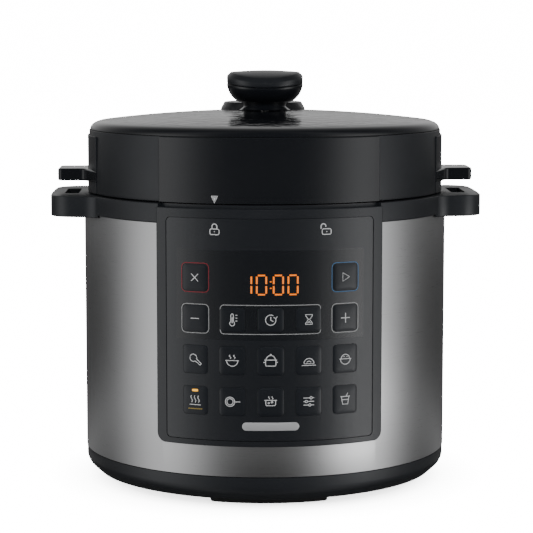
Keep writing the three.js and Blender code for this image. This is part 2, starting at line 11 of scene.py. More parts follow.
import bmesh
import bpy
from bpy.props import FloatProperty, FloatVectorProperty, IntProperty, PointerProperty
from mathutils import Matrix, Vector


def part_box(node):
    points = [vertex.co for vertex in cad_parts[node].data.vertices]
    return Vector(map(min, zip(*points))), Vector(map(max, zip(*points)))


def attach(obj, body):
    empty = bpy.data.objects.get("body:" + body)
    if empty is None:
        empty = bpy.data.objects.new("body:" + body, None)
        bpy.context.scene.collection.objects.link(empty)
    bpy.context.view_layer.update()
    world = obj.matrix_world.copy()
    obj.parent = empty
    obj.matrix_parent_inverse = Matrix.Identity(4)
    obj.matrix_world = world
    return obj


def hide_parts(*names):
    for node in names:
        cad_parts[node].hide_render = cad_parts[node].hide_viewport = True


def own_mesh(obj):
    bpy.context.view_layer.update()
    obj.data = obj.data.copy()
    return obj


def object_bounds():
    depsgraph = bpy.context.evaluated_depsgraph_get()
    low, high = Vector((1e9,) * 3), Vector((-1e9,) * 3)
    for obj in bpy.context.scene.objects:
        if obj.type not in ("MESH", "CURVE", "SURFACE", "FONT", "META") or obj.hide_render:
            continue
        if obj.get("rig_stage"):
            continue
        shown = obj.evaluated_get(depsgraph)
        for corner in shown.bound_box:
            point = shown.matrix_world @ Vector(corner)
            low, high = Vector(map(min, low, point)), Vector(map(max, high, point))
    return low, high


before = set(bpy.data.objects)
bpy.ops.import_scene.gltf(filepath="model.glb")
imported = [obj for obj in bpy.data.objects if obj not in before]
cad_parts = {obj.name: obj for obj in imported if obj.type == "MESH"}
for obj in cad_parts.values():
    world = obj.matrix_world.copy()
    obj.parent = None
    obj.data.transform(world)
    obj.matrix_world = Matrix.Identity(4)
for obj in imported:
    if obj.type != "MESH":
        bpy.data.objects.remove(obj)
CAD_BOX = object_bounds()

bl_info = {
    "name": "Electric pressure cooker",
    "version": (1, 0, 0),
    "blender": (4, 5, 0),
    "location": "View3D > Sidebar > Cooker",
    "description": "Builds an electric pressure cooker piece by piece",
    "category": "Add Mesh",
}

MM = 0.001


def heights(node):
    """The lowest and highest z of a node."""
    low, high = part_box(node)
    return low.z, high.z


def mm(points):
    """Points in millimetres, given back in metres."""
    return [(a * MM, b * MM) for a, b in points]


SHELL_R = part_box("steel_shell")[1].x
SHELL_LOW, SHELL_HIGH = heights("steel_shell")
PANEL_R = -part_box("panel_bezel")[0].y  # outside of the control panel's frame
FILM_R = -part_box("control_film")[0].y
FILM_LOW, FILM_HIGH = heights("control_film")
CAP_R = -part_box("button_stew")[0].y - 0.02 * MM  # crown of a key
COLLAR_LOW, COLLAR_HIGH = 201 * MM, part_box("collar")[1].z
EAR_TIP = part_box("collar")[1].x
LID_PANEL_R = -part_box("lid_skirt")[0].y
SKIRT_LOW, SKIRT_HIGH = heights("lid_skirt")
PANEL_HALF = math.radians(35.1)
FILM_HALF = math.radians(31.65)
COLUMN = math.radians(11.1)
SIDE_COLUMN = math.radians(22.3)
ROW_Z = [sum(heights(node)) / 2 for node in ("button_cancel", "button_minus", "button_soup", "button_fry")]
KEY_CORNER = 2.7 * MM
KEY_GAP = 0.15 * MM  # between a key and the edge of its hole
CUTTER_FRONT = 5 * MM  # how far a cutter stands out in front of what it cuts
GRID = 20  # snapping steps in a millimetre
VENT = Vector((0, 56 * MM))
BOSS = Vector((0, 50 * MM))
FLOAT = Vector((-17 * MM, 38 * MM))


# ---- What a user may change --------------------------------------------------
def length(name, description, default):
    return FloatProperty(name=name, description=description, default=default, unit="LENGTH",
                         subtype="DISTANCE")


def colour(name, description, *default):
    return FloatVectorProperty(name=name, description=description, subtype="COLOR", default=default)


class CookerSizes(bpy.types.PropertyGroup):
    ring_facets: IntProperty(
        name="Ring facets", description="Facets round a large turned piece", default=192, min=48)
    edge: length("Edge radius", "Rounding of a moulded edge", 0.7 * MM)
    stroke: length("Mark width", "Width of a printed line", 0.62 * MM)
    print_height: length("Print height", "How far a printed line stands up", 0.05 * MM)


class CookerColours(bpy.types.PropertyGroup):
    plastic: colour("Plastic", "Satin plastic", 0.0150, 0.017, 0.0205)
    gloss: colour("Gloss", "Glossy plastic", 0.0092, 0.0105, 0.0132)
    film: colour("Film", "Control film", 0.0115, 0.0138, 0.0178)
    steel: colour("Steel", "Brushed steel", 0.55, 0.553, 0.56)
    mark: colour("Marks", "Printed marks", 0.86, 0.87, 0.88)
    outline: colour("Outlines", "Printed outlines", 0.42, 0.425, 0.43)
    cancel: colour("Cancel", "Outline of the cancel key", 0.30, 0.022, 0.035)
    start: colour("Start", "Outline of the start key", 0.05, 0.16, 0.34)
    display: colour("Display", "Lit digits", 1.0, 0.22, 0.01)


# ---- Selecting and editing ---------------------------------------------------
def deselect():
    if bpy.context.object and bpy.context.object.mode != "OBJECT":
        bpy.ops.object.mode_set(mode="OBJECT")
    bpy.ops.object.select_all(action="DESELECT")


def only(obj):
    deselect()
    obj.select_set(True)
    bpy.context.view_layer.objects.active = obj
    return obj


@contextmanager
def editing(obj, mode="VERT"):
    """Edit mode with everything selected."""
    only(obj)
    bpy.ops.object.mode_set(mode="EDIT")
    bpy.ops.mesh.select_mode(type=mode)
    bpy.ops.mesh.select_all(action="SELECT")
    yield
    bpy.ops.object.mode_set(mode="OBJECT")


def select_where(obj, kind, test):
    """In edit mode, selects only the vertices, edges or faces that pass the test."""
    bpy.ops.mesh.select_all(action="DESELECT")
    mesh = bmesh.from_edit_mesh(obj.data)
    for item in getattr(mesh, kind):
        if test(item):
            item.select_set(True)
    mesh.select_flush_mode()
    bmesh.update_edit_mesh(obj.data)


def applied(obj, kind, **settings):
    """Adds a modifier, sets it and applies it."""
    only(obj)
    modifier = obj.modifiers.new(kind.title(), kind)
    for key, value in settings.items():
        setattr(modifier, key, value)
    bpy.ops.object.modifier_apply(modifier=modifier.name)
    return obj


def added(name, operator, **settings):
    """Runs an operator that adds an object, and names the object."""
    deselect()
    operator(**settings)
    bpy.context.object.name = name
    return bpy.context.object


def settled(obj):
    """Puts the object's place in its mesh."""
    only(obj)
    bpy.ops.object.transform_apply(location=True, rotation=True, scale=True)
    return obj


def cleaned(obj):
    with editing(obj):
        bpy.ops.mesh.remove_doubles(threshold=4e-6)
        bpy.ops.mesh.normals_make_consistent(inside=False)
    return obj


def smoothed(obj, angle=32):
    only(obj)
    bpy.ops.object.shade_smooth_by_angle(angle=math.radians(angle))
    return obj


def bevelled(obj, width, segments=3, angle=35):
    return applied(obj, "BEVEL", width=width, segments=segments, limit_method="ANGLE",
                   angle_limit=math.radians(angle), use_clamp_overlap=True)


def discard(obj):
    bpy.data.objects.remove(obj, do_unlink=True)


def combined(obj, operation, others):
    """Cuts or joins other objects one by one and discards them."""
    for other in others:
        applied(obj, "BOOLEAN", operation=operation, solver="EXACT", object=other)
        discard(other)
    return obj


def carved(obj, *cutters):
    return combined(obj, "DIFFERENCE", cutters)


def united(obj, *others):
    return combined(obj, "UNION", others)


def joined(name, *objects):
    deselect()
    for obj in objects:
        obj.select_set(True)
    bpy.context.view_layer.objects.active = objects[0]
    bpy.ops.object.join()
    objects[0].name = name
    return objects[0]


def copied(obj, name):
    only(obj)
    bpy.ops.object.duplicate(linked=False)
    copy = bpy.context.object
    copy.name = name
    return copy


# ---- Shapes ------------------------------------------------------------------
def eased(outline, radius, steps=3):
    """A closed outline of [radius, height] points with its corners rounded."""
    points = [Vector(p) for p in outline]
    result = []
    for i, corner in enumerate(points):
        before, after = points[i - 1] - corner, points[(i + 1) % len(points)] - corner
        reach = min(radius, 0.45 * before.length, 0.45 * after.length)
        start = corner + before.normalized() * reach
        end = corner + after.normalized() * reach
        for step in range(steps + 1):
            t = step / steps
            result.append(tuple(start * (1 - t) ** 2 + corner * 2 * t * (1 - t) + end * t * t))
    return result


def turned(name, outline, facets=None, centre=(0.0, 0.0), loop=True):
    """A turned piece: a ring pushed from point to point of an outline in metres.

    A loop closes on itself; otherwise the outline runs from the axis to the axis."""
    facets = facets or bpy.context.scene.cooker_sizes.ring_facets
    points = outline + outline[:1] if loop else [p for p in outline if p[0] > 0]
    radius, height = points[0]
    obj = settled(added(name, bpy.ops.mesh.primitive_circle_add, vertices=facets, radius=radius,
                        location=(centre[0], centre[1], height)))
    with editing(obj, "EDGE"):
        for new_radius, new_height in points[1:]:
            push_ring(centre, new_radius / radius, new_height - height)
            radius, height = new_radius, new_height
        if not loop:
            bpy.ops.mesh.edge_face_add()
            select_where(obj, "edges", lambda e: e.is_boundary)
            bpy.ops.mesh.edge_face_add()
    return cleaned(obj)


def push_ring(centre, scale, rise):
    bpy.ops.mesh.extrude_region_move(TRANSFORM_OT_translate={"value": (0, 0, rise)})
    bpy.ops.transform.resize(value=(scale, scale, 1), center_override=(centre[0], centre[1], 0))


def block(name, low, high):
    """A plain block to be shaped further."""
    low, high = Vector(low), Vector(high)
    obj = added(name, bpy.ops.mesh.primitive_cube_add, size=1, location=(low + high) / 2)
    obj.scale = high - low
    return settled(obj)


def post(name, radius, low, high, centre=(0.0, 0.0), facets=48):
    place = (centre[0], centre[1], (low + high) / 2)
    return settled(added(name, bpy.ops.mesh.primitive_cylinder_add, vertices=facets, radius=radius,
                         depth=high - low, location=place))


def meshed(name, curve, lines):
    """Fills a curve with lines of points in metres, each with its closing, as a mesh object."""
    for points, closed in lines:
        spline = curve.splines.new("POLY")
        spline.points.add(len(points) - 1)
        for point, place in zip(spline.points, points):
            point.co = (*place, 1)
        spline.use_cyclic_u = closed
    obj = bpy.data.objects.new(name, curve)
    bpy.context.scene.collection.objects.link(obj)
    only(obj)
    bpy.ops.object.convert(target="MESH")
    return bpy.context.object


def plan_piece(name, outline, low, high, edge):
    """A flat piece from its plan, points in millimetres, with softened rims."""
    curve = bpy.data.curves.new(name, "CURVE")
    curve.dimensions = "2D"
    curve.fill_mode = "BOTH"
    curve.extrude = (high - low) / 2 - edge
    curve.bevel_depth, curve.bevel_resolution, curve.offset = edge, 3, -edge
    obj = meshed(name, curve, [([(x, y, 0) for x, y in mm(outline)], True)])
    obj.location.z = (low + high) / 2
    return cleaned(settled(obj))


def mirrored_plan(half):
    """Completes a plan given for negative y only."""
    return half + [(x, -y) for x, y in reversed(half)]


def is_upright(edge):
    a, b = edge.verts[0].co, edge.verts[1].co
    return abs(a.x - b.x) < 1e-6 and abs(a.y - b.y) < 1e-6


def rounded_upright(obj, radius, segments=8, test=lambda edge: True):
    """Rounds the upright edges that pass the test."""
    with editing(obj, "EDGE"):
        select_where(obj, "edges", lambda e: is_upright(e) and test(e))
        bpy.ops.mesh.bevel(offset=radius, segments=segments, affect="EDGES")
    return obj


def front_plate(name, left, right, low, high, corner, thickness, segments=6):
    """A flat plate with rounded corners: its face lies at y = 0 and its back at y = thickness."""
    place = ((left + right) / 2, 0, (low + high) / 2)
    obj = added(name, bpy.ops.mesh.primitive_plane_add, size=1, location=place, rotation=(math.pi / 2, 0, 0))
    obj.scale = (right - left, high - low, 1)
    settled(obj)
    with editing(obj):
        if corner:
            bpy.ops.mesh.bevel(offset=corner, segments=segments, affect="VERTICES")
            bpy.ops.mesh.select_all(action="SELECT")
        bpy.ops.mesh.extrude_region_move(TRANSFORM_OT_translate={"value": (0, thickness, 0)})
    return cleaned(obj)


def snapped(x):
    return round(x / MM * GRID) / GRID * MM


def curved(obj, radius, step=1.0, follow=False):
    """Cuts a flat front piece into upright strips and curves it round the body.

    With follow, it is also cut wherever it has a vertex, so that every strip stays true."""
    xs = [v.co.x for v in obj.data.vertices]
    low, high = min(xs), max(xs)
    strip = math.radians(step) * radius
    first, last = math.ceil((low + 1e-5) / strip), math.floor((high - 1e-5) / strip)
    cuts = {i * strip for i in range(first, last + 1)}
    if follow:
        for vertex in obj.data.vertices:
            vertex.co.x = snapped(vertex.co.x)
        cuts |= {snapped(x) for x in xs if low + 1e-4 < x < high - 1e-4}
    with editing(obj):
        for cut in sorted(cuts):
            bpy.ops.mesh.select_all(action="SELECT")
            bpy.ops.mesh.bisect(plane_co=(cut, 0, 0), plane_no=(1, 0, 0), threshold=2e-6)
    applied(obj, "SIMPLE_DEFORM", deform_method="BEND", deform_axis="Z",
            angle=(high - low) / radius)
    obj.location.y = -radius
    return settled(obj)


def finished(obj, body, slot, material, *nodes, angle=32, broad=False):
    """Smooths a piece, gives it its material and hangs it on its body.

    On a broad piece the softened rims keep their shading off the wide faces."""
    smoothed(obj, angle)
    if broad:
        applied(obj, "WEIGHTED_NORMAL", keep_sharp=True)
    obj.data.materials.clear()
    obj.data.materials.append(material)
    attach(obj, body)
    if nodes:
        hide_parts(*nodes)
    return obj


# ---- Strokes and marks ---------------------------------------------------------
def arc(x, z, radius, start, end, steps=14):
    """Points of an arc, its angles in degrees from the right, anticlockwise."""
    angles = [math.radians(start + (end - start) * i / steps) for i in range(steps + 1)]
    return [(x + radius * math.cos(a), z + radius * math.sin(a)) for a in angles]


def ring(x, z, radius, steps=22):
    return arc(x, z, radius, 0, 360 * (steps - 1) / steps, steps - 1) + ["closed"]


def rounded_frame(width, height, corner):
    x, z = width / 2 - corner, height / 2 - corner
    points = []
    for cx, cz, start in ((x, z, 0), (-x, z, 90), (-x, -z, 180), (x, -z, 270)):
        points += arc(cx, cz, corner, start, start + 90, 5)
    return points + ["closed"]


def wave(x, z, height, sway=0.55):
    steps = 10
    return [(x + sway * math.sin(2 * math.pi * i / steps), z + height * i / steps)
            for i in range(steps + 1)]


def strokes(name, lines, width, height, x=0.0, z=0.0):
    """Printed lines as low raised strokes. Lines hold (x, z) points in millimetres."""
    curve = bpy.data.curves.new(name, "CURVE")
    curve.dimensions = "3D"
    curve.bevel_depth = width / 2
    curve.bevel_resolution = 1
    curve.use_fill_caps = True
    splines = []
    for line in lines:
        closed = line[-1] == "closed"
        points = line[:-1] if closed else line
        splines.append(([(px, 0, pz) for px, pz in mm(points)], closed))
    obj = cleaned(meshed(name, curve, splines))
    obj.scale.y = 2 * height / width
    obj.location = (x, 0, z)
    return settled(obj)


def printed(name, lines, material, body, x, z, radius, slot="film_black", width=None):
    sizes = bpy.context.scene.cooker_sizes
    mark = strokes(name, lines, width or sizes.stroke, sizes.print_height, x, z)
    curved(mark, radius)
    return finished(mark, body, slot, material)


# ---- Materials -----------------------------------------------------------------
class Graph:
    """The nodes of a material or world under construction."""

    def __init__(self, owner):
        owner.use_nodes = True
        self.nodes, self.links = owner.node_tree.nodes, owner.node_tree.links

    def add(self, kind, inputs=None, **settings):
        node = self.nodes.new("ShaderNode" + kind)
        for key, value in settings.items():
            setattr(node, key, value)
        for key, value in (inputs or {}).items():
            if isinstance(value, bpy.types.NodeSocket):
                self.links.new(value, node.inputs[key])
            else:
                node.inputs[key].default_value = value
        return node

    def math(self, operation, a, b=0.0, c=0.0):
        return self.add("Math", {0: a, 1: b, 2: c}, operation=operation).outputs[0]

    def spread(self, value, low, high, start=0.0, end=1.0):
        inputs = {"Value": value, "From Min": start, "From Max": end, "To Min": low, "To Max": high}
        return self.add("MapRange", inputs).outputs["Result"]

    def split(self, unseen, seen, output):
        """Shows the camera one shader and every other ray another."""
        mix = self.add("MixShader")
        factor = self.add("LightPath").outputs["Is Camera Ray"]
        for socket, value in zip(mix.inputs, (factor, unseen, seen)):
            self.links.new(value, socket)
        self.links.new(mix.outputs[0], self.nodes[output].inputs["Surface"])


class Recipe(Graph):
    """A material under construction, with its shader."""

    def __init__(self, name, colour, roughness, metallic=0.0, **sockets):
        self.material = bpy.data.materials.new(name)
        super().__init__(self.material)
        self.shader = self.nodes["Principled BSDF"]
        self.shader.inputs["Base Color"].default_value = (*colour, 1)
        self.shader.inputs["Roughness"].default_value = roughness
        self.shader.inputs["Metallic"].default_value = metallic
        for key, value in sockets.items():
            self.shader.inputs[key.replace("_", " ")].default_value = value

    def place(self, scale=(1, 1, 1)):
        """Object coordinates stretched by a scale."""
        where = self.add("TexCoord").outputs["Object"]
        return self.add("Mapping", {"Vector": where, "Scale": scale}).outputs["Vector"]

    def noise(self, scale, detail=2.0, stretch=(1, 1, 1), roughness=0.5, distortion=0.0):
        inputs = {"Vector": self.place(stretch), "Scale": scale, "Detail": detail,
                  "Roughness": roughness, "Distortion": distortion}
        return self.add("TexNoise", inputs).outputs["Fac"]

    def mix(self, factor, a, b):
        node = self.add("Mix", data_type="RGBA")
        for socket, value in zip((node.inputs[0], node.inputs[6], node.inputs[7]), (factor, a, b)):
            if isinstance(value, bpy.types.NodeSocket):
                self.links.new(value, socket)
            else:
                socket.default_value = value if socket == node.inputs[0] else (*value, 1)
        return node.outputs[2]

    def drive(self, socket, value):
        self.links.new(value, self.shader.inputs[socket])
        return self

    def bump(self, height, distance):
        bump = self.add("Bump", {"Height": height, "Distance": distance})
        return self.drive("Normal", bump.outputs["Normal"])

    def grained(self, scale, detail, depth):
        return self.bump(self.noise(scale, detail), depth)

    def uneven(self, scale, detail, low, high, start=0.0, end=1.0):
        """A roughness that wanders between two values."""
        return self.drive("Roughness", self.spread(self.noise(scale, detail), low, high, start, end))

    def axes(self):
        return self.add("SeparateXYZ", {0: self.place()}).outputs

    def axis_distance(self, axes):
        flat = self.add("CombineXYZ", {"X": axes["X"], "Y": axes["Y"]}).outputs[0]
        return self.add("VectorMath", {0: flat}, operation="LENGTH").outputs["Value"]


def once(maker):
    """Makes a material the first time it is asked for."""
    return cache(lambda: maker().material)


def colours():
    return bpy.context.scene.cooker_colours


def moulded(name, colour, roughness, grain=0.02 * MM, grain_size=0.5 * MM):
    """Moulded plastic: a fine spark-eroded grain and a slightly uneven sheen."""
    recipe = Recipe(name, colour, roughness)
    grain_noise = recipe.noise(1 / grain_size, 3)
    cloud = recipe.noise(22, 3)
    recipe.drive("Roughness", recipe.spread(cloud, roughness * 0.88, roughness * 1.12, 0.3, 0.7))
    tint = [min(1, c * 1.18) for c in colour]
    recipe.drive("Base Color", recipe.mix(recipe.spread(cloud, 0, 1, 0.3, 0.7), colour, tint))
    return recipe.bump(grain_noise, grain)


@once
def satin_plastic():
    return moulded("satin_plastic", colours().plastic, 0.38, 0.006 * MM)


@once
def panel_plastic():
    return moulded("panel_plastic", colours().plastic, 0.3, 0.003 * MM)


@once
def gloss_plastic():
    recipe = Recipe("gloss_plastic", colours().gloss, 0.13)
    return recipe.uneven(30, 4, 0.1, 0.16, 0.3, 0.7).grained(260, 1, 0.003 * MM)


@once
def lid_gloss():
    """Glossy lid: rippled inside its shoulder, plain on it."""
    recipe = Recipe("lid_gloss", colours().gloss, 0.08)
    ripple = recipe.noise(130, 2, stretch=(0.6, 1.3, 1), distortion=0.5)
    fine = recipe.noise(420, 2, stretch=(0.6, 1.4, 1))
    height = recipe.math("MULTIPLY_ADD", fine, 0.12, ripple)
    rippled = recipe.spread(recipe.axis_distance(recipe.axes()), 1, 0, 116 * MM, 122 * MM)
    recipe.drive("Roughness", recipe.spread(ripple, 0.06, 0.12, 0.3, 0.7))
    return recipe.bump(recipe.math("MULTIPLY", height, rippled), 0.55 * MM)


@once
def lid_front():
    recipe = Recipe("lid_front", colours().gloss, 0.2)
    return recipe.uneven(18, 3, 0.18, 0.24, 0.3, 0.7).grained(900, 2, 0.002 * MM)


@once
def brushed_steel():
    colour = tuple(colours().steel)
    recipe = Recipe("brushed_steel", colour, 0.27, 1.0, Anisotropic=0.55)
    tangent = recipe.add("Tangent", direction_type="RADIAL", axis="Z")
    recipe.drive("Tangent", tangent.outputs["Tangent"])
    lines = recipe.noise(1.0, 3, stretch=(70, 70, 8500), roughness=0.7)
    dark = tuple(c * 0.92 for c in colour)
    recipe.drive("Base Color", recipe.mix(recipe.spread(lines, 0, 1, 0.3, 0.7), dark, colour))
    recipe.drive("Roughness", recipe.spread(lines, 0.27, 0.34, 0.3, 0.7))
    return recipe.bump(lines, 0.001 * MM)


@once
def control_film():
    """Grained film with a darker, smoother window round the display and the keys above it."""
    colour = tuple(colours().film)
    recipe = Recipe("control_film", colour, 0.36, Specular_IOR_Level=0.75)
    axes = recipe.axes()
    front = recipe.math("MULTIPLY", axes["Y"], -1.0)
    across = recipe.math("ABSOLUTE", recipe.math("ARCTAN2", axes["X"], front))
    middle = (ROW_Z[0] + ROW_Z[1]) / 2 + 2.5 * MM
    up = recipe.math("ABSOLUTE", recipe.math("SUBTRACT", axes["Z"], middle))
    inside_x = recipe.spread(across, 1, 0, math.radians(28.0), math.radians(28.6))
    inside_z = recipe.spread(up, 1, 0, 31 * MM, 31.6 * MM)
    window = recipe.math("MULTIPLY", inside_x, inside_z)
    smooth = tuple(c * 0.72 for c in colour)
    recipe.drive("Base Color", recipe.mix(window, colour, smooth))
    recipe.drive("Roughness", recipe.spread(window, 0.34, 0.26))
    grain = recipe.noise(1700, 2)
    calm = recipe.math("MULTIPLY", grain, recipe.spread(window, 1.0, 0.12))
    return recipe.bump(calm, 0.03 * MM)


@once
def key_rubber():
    return moulded("key_face", colours().film, 0.33, 0.003 * MM, 0.4 * MM)


def ink(name, colour):
    recipe = Recipe(name, colour, 0.45)
    thin = tuple(c * 0.82 for c in colour)
    return recipe.drive("Base Color", recipe.mix(recipe.noise(1500, 2), thin, colour))


white_ink = once(lambda: ink("white_ink", colours().mark))
outline_ink = once(lambda: ink("outline_ink", colours().outline))
cancel_ink = once(lambda: ink("cancel_ink", colours().cancel))
start_ink = once(lambda: ink("start_ink", colours().start))
faint_ink = once(lambda: ink("faint_ink", (0.035, 0.036, 0.038)))
dim_gold = once(lambda: ink("dim_gold", (0.42, 0.3, 0.08)))


@once
def lit_amber():
    colour = tuple(colours().display)
    recipe = Recipe("lit_amber", colour, 0.4, Emission_Strength=0.8)
    glow = recipe.spread(recipe.noise(700, 1), 0, 1, 0.35, 0.65)
    recipe.drive("Emission Color", recipe.mix(glow, colour, (1.0, 0.20, 0.008)))
    return recipe


@once
def lit_yellow():
    recipe = Recipe("lit_yellow", (1.0, 0.5, 0.04), 0.4, Emission_Strength=1.1)
    glow = recipe.noise(600, 1)
    recipe.drive("Emission Color", recipe.mix(glow, (1.0, 0.42, 0.02), (1.0, 0.55, 0.05)))
    return recipe


@once
def badge_silver():
    recipe = Recipe("badge_silver", (0.62, 0.63, 0.64), 0.38, 0.35)
    return recipe.uneven(900, 2, 0.34, 0.44).grained(1800, 2, 0.003 * MM)


@once
def foot_rubber():
    recipe = Recipe("foot_rubber", (0.013, 0.013, 0.014), 0.7)
    return recipe.uneven(60, 4, 0.62, 0.82).grained(900, 3, 0.02 * MM)


@once
def seal_silicone():
    recipe = Recipe("seal_silicone", (0.66, 0.66, 0.62), 0.45, Subsurface_Weight=0.25)
    recipe.shader.inputs["Subsurface Scale"].default_value = 0.002
    return recipe.uneven(80, 3, 0.4, 0.55).grained(700, 2, 0.01 * MM)


def spun(name, colour, roughness, groove=0.012 * MM):
    """Spun or pressed metal: fine grooves round the axis."""
    recipe = Recipe(name, colour, roughness, 1.0)
    axes = recipe.axes()
    sweep = recipe.add("CombineXYZ", {"X": recipe.axis_distance(axes), "Y": axes["Z"]})
    inputs = {"Vector": sweep.outputs[0], "Scale": 1900, "Detail": 2.0}
    grooves = recipe.add("TexNoise", inputs).outputs["Fac"]
    recipe.drive("Roughness", recipe.spread(grooves, roughness * 0.8, roughness * 1.3, 0.3, 0.7))
    return recipe.bump(grooves, groove)


@once
def pressed_steel():
    return spun("pressed_steel", (0.58, 0.575, 0.56), 0.26, 0.004 * MM)


@once
def well_aluminium():
    return spun("well_aluminium", (0.55, 0.56, 0.57), 0.36)


@once
def cast_aluminium():
    recipe = Recipe("cast_aluminium", (0.48, 0.49, 0.5), 0.5, 1.0)
    return recipe.uneven(200, 4, 0.42, 0.6).grained(900, 4, 0.03 * MM)


@once
def polished_steel():
    recipe = Recipe("polished_steel", (0.62, 0.62, 0.61), 0.14, 1.0)
    return recipe.uneven(120, 4, 0.1, 0.2, 0.3, 0.7).grained(1500, 2, 0.001 * MM)


@once
def pot_coating():
    """Non-stick coating: near black with fine pale specks."""
    recipe = Recipe("pot_coating", (0.032, 0.032, 0.034), 0.42)
    specks = recipe.add("TexVoronoi", {"Vector": recipe.place(), "Scale": 620.0})
    dot = recipe.spread(specks.outputs["Distance"], 1, 0, 0.1, 0.2)
    rare = recipe.math("GREATER_THAN", recipe.noise(300, 1), 0.56)
    speck = recipe.math("MULTIPLY", dot, rare)
    recipe.drive("Base Color", recipe.mix(speck, (0.032, 0.032, 0.034), (0.3, 0.3, 0.3)))
    return recipe.uneven(90, 3, 0.36, 0.5).grained(1200, 2, 0.008 * MM)


@once
def clear_cup():
    recipe = Recipe("clear_cup", (0.6, 0.64, 0.66), 0.12, IOR=1.49, Transmission_Weight=0.85)
    return recipe.uneven(40, 3, 0.08, 0.18).grained(300, 1, 0.004 * MM)


@once
def board_green():
    recipe = Recipe("board_green", (0.015, 0.1, 0.04), 0.4)
    inputs = {"Vector": recipe.place(), "Scale": 120.0, "Mortar Size": 0.03,
              "Color1": (0.015, 0.1, 0.04, 1), "Color2": (0.012, 0.085, 0.035, 1),
              "Mortar": (0.03, 0.17, 0.07, 1)}
    recipe.drive("Base Color", recipe.add("TexBrick", inputs).outputs["Color"])
    return recipe.grained(800, 1, 0.01 * MM)


@once
def fuse_sleeve():
    recipe = Recipe("fuse_sleeve", (0.6, 0.59, 0.54), 0.8)
    weave = recipe.add("TexWave", {"Vector": recipe.place(), "Scale": 900.0}, bands_direction="DIAGONAL")
    return recipe.bump(weave.outputs["Fac"], 0.05 * MM)


@once
def smoked_display():
    return Recipe("smoked_display", (0.006, 0.006, 0.007), 0.12).uneven(60, 2, 0.1, 0.18)


# ---- Base and body ---------------------------------------------------------------
class COOKER_OT_base(bpy.types.Operator):
    """Base pan with its vents"""
    bl_idname = "cooker.base"
    bl_label = "Base pan"
    bl_options = {"REGISTER", "UNDO"}

    def execute(self, context):
        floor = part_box("base")[0].z
        rim = [(132.8, 12.6), (134.2, 15.4), (134.6, 17.2), (134.6, 23.8), (133.6, 24.1)]
        hidden = [(133.4, 30), (131.2, 30), (131.2, 15), (126, 9)]
        flank = [(124.4, 6), (126.2, 6.5), (127.6, 7.8), (129.4, 9.4), (130.8, 10.7)]
        pan = turned("base_pan", [(0, floor)] + mm(flank + rim + hidden) + [(0, 9 * MM)], loop=False)
        vents = []
        for i in range(10):
            vent = block("vent", (50 * MM, -2 * MM, 0), (74 * MM, 2 * MM, 13 * MM))
            rounded_upright(vent, 1.9 * MM, 4)
            vent.rotation_euler.z = i * math.pi / 5
            vents.append(settled(vent))
        for angle in (30, 150, 270):
            a = math.radians(angle)
            place = (0.088 * math.cos(a), 0.088 * math.sin(a))
            vents.append(post("screw_hole", 2.4 * MM, 0, 0.012, place, 20))
        carved(pan, joined("vents", *vents))
        finished(pan, "housing", "satin_black", satin_plastic(), "base")
        return {"FINISHED"}


class COOKER_OT_feet(bpy.types.Operator):
    """Four curved rubber feet"""
    bl_idname = "cooker.feet"
    bl_label = "Feet"
    bl_options = {"REGISTER", "UNDO"}

    def execute(self, context):
        radius, depth = 112 * MM, 14 * MM
        half, height = math.radians(23) * radius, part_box("foot_front")[1].z
        foot = block("foot", (-half, 0, 0), (half, depth, height))
        rounded_upright(foot, 3.5 * MM, 5)
        with editing(foot, "FACE"):
            select_where(foot, "faces", lambda f: f.normal.z < -0.9)
            bpy.ops.transform.resize(value=(0.975, 0.86, 1), center_override=(0, depth / 2, 0))
        bevelled(foot, 0.9 * MM)
        curved(foot, radius, 2)
        for i, side in enumerate(("front", "right", "back", "left")):
            piece = copied(foot, "rubber_foot_" + side)
            piece.rotation_euler.z = i * math.pi / 2
            finished(settled(piece), "housing", "foot_rubber", foot_rubber(), "foot_" + side)
        discard(foot)
        return {"FINISHED"}


class COOKER_OT_shell(bpy.types.Operator):
    """Brushed steel skin with its openings"""
    bl_idname = "cooker.shell"
    bl_label = "Steel skin"
    bl_options = {"REGISTER", "UNDO"}

    def execute(self, context):
        inside = SHELL_R - 1 * MM
        outline = [(SHELL_R, SHELL_LOW), (SHELL_R, SHELL_HIGH), (inside, SHELL_HIGH), (inside, SHELL_LOW)]
        skin = turned("steel_skin", eased(outline, 0.35 * MM))
        half = (PANEL_HALF - math.radians(0.8)) * PANEL_R
        opening = front_plate("opening", -half, half, 0.05, 0.22, 4 * MM, 9 * MM)
        curved(opening, PANEL_R + 2 * MM, 3)
        inlet = block("opening", (-17.5 * MM, 0.12, 29 * MM), (17.5 * MM, 0.14, 53 * MM))
        pocket = block("opening", (-33.6 * MM, 0.11, 147.4 * MM), (33.6 * MM, 0.14, 197.2 * MM))
        carved(skin, opening, inlet, pocket)
        finished(skin, "housing", "brushed_shell", brushed_steel(), "steel_shell")
        return {"FINISHED"}


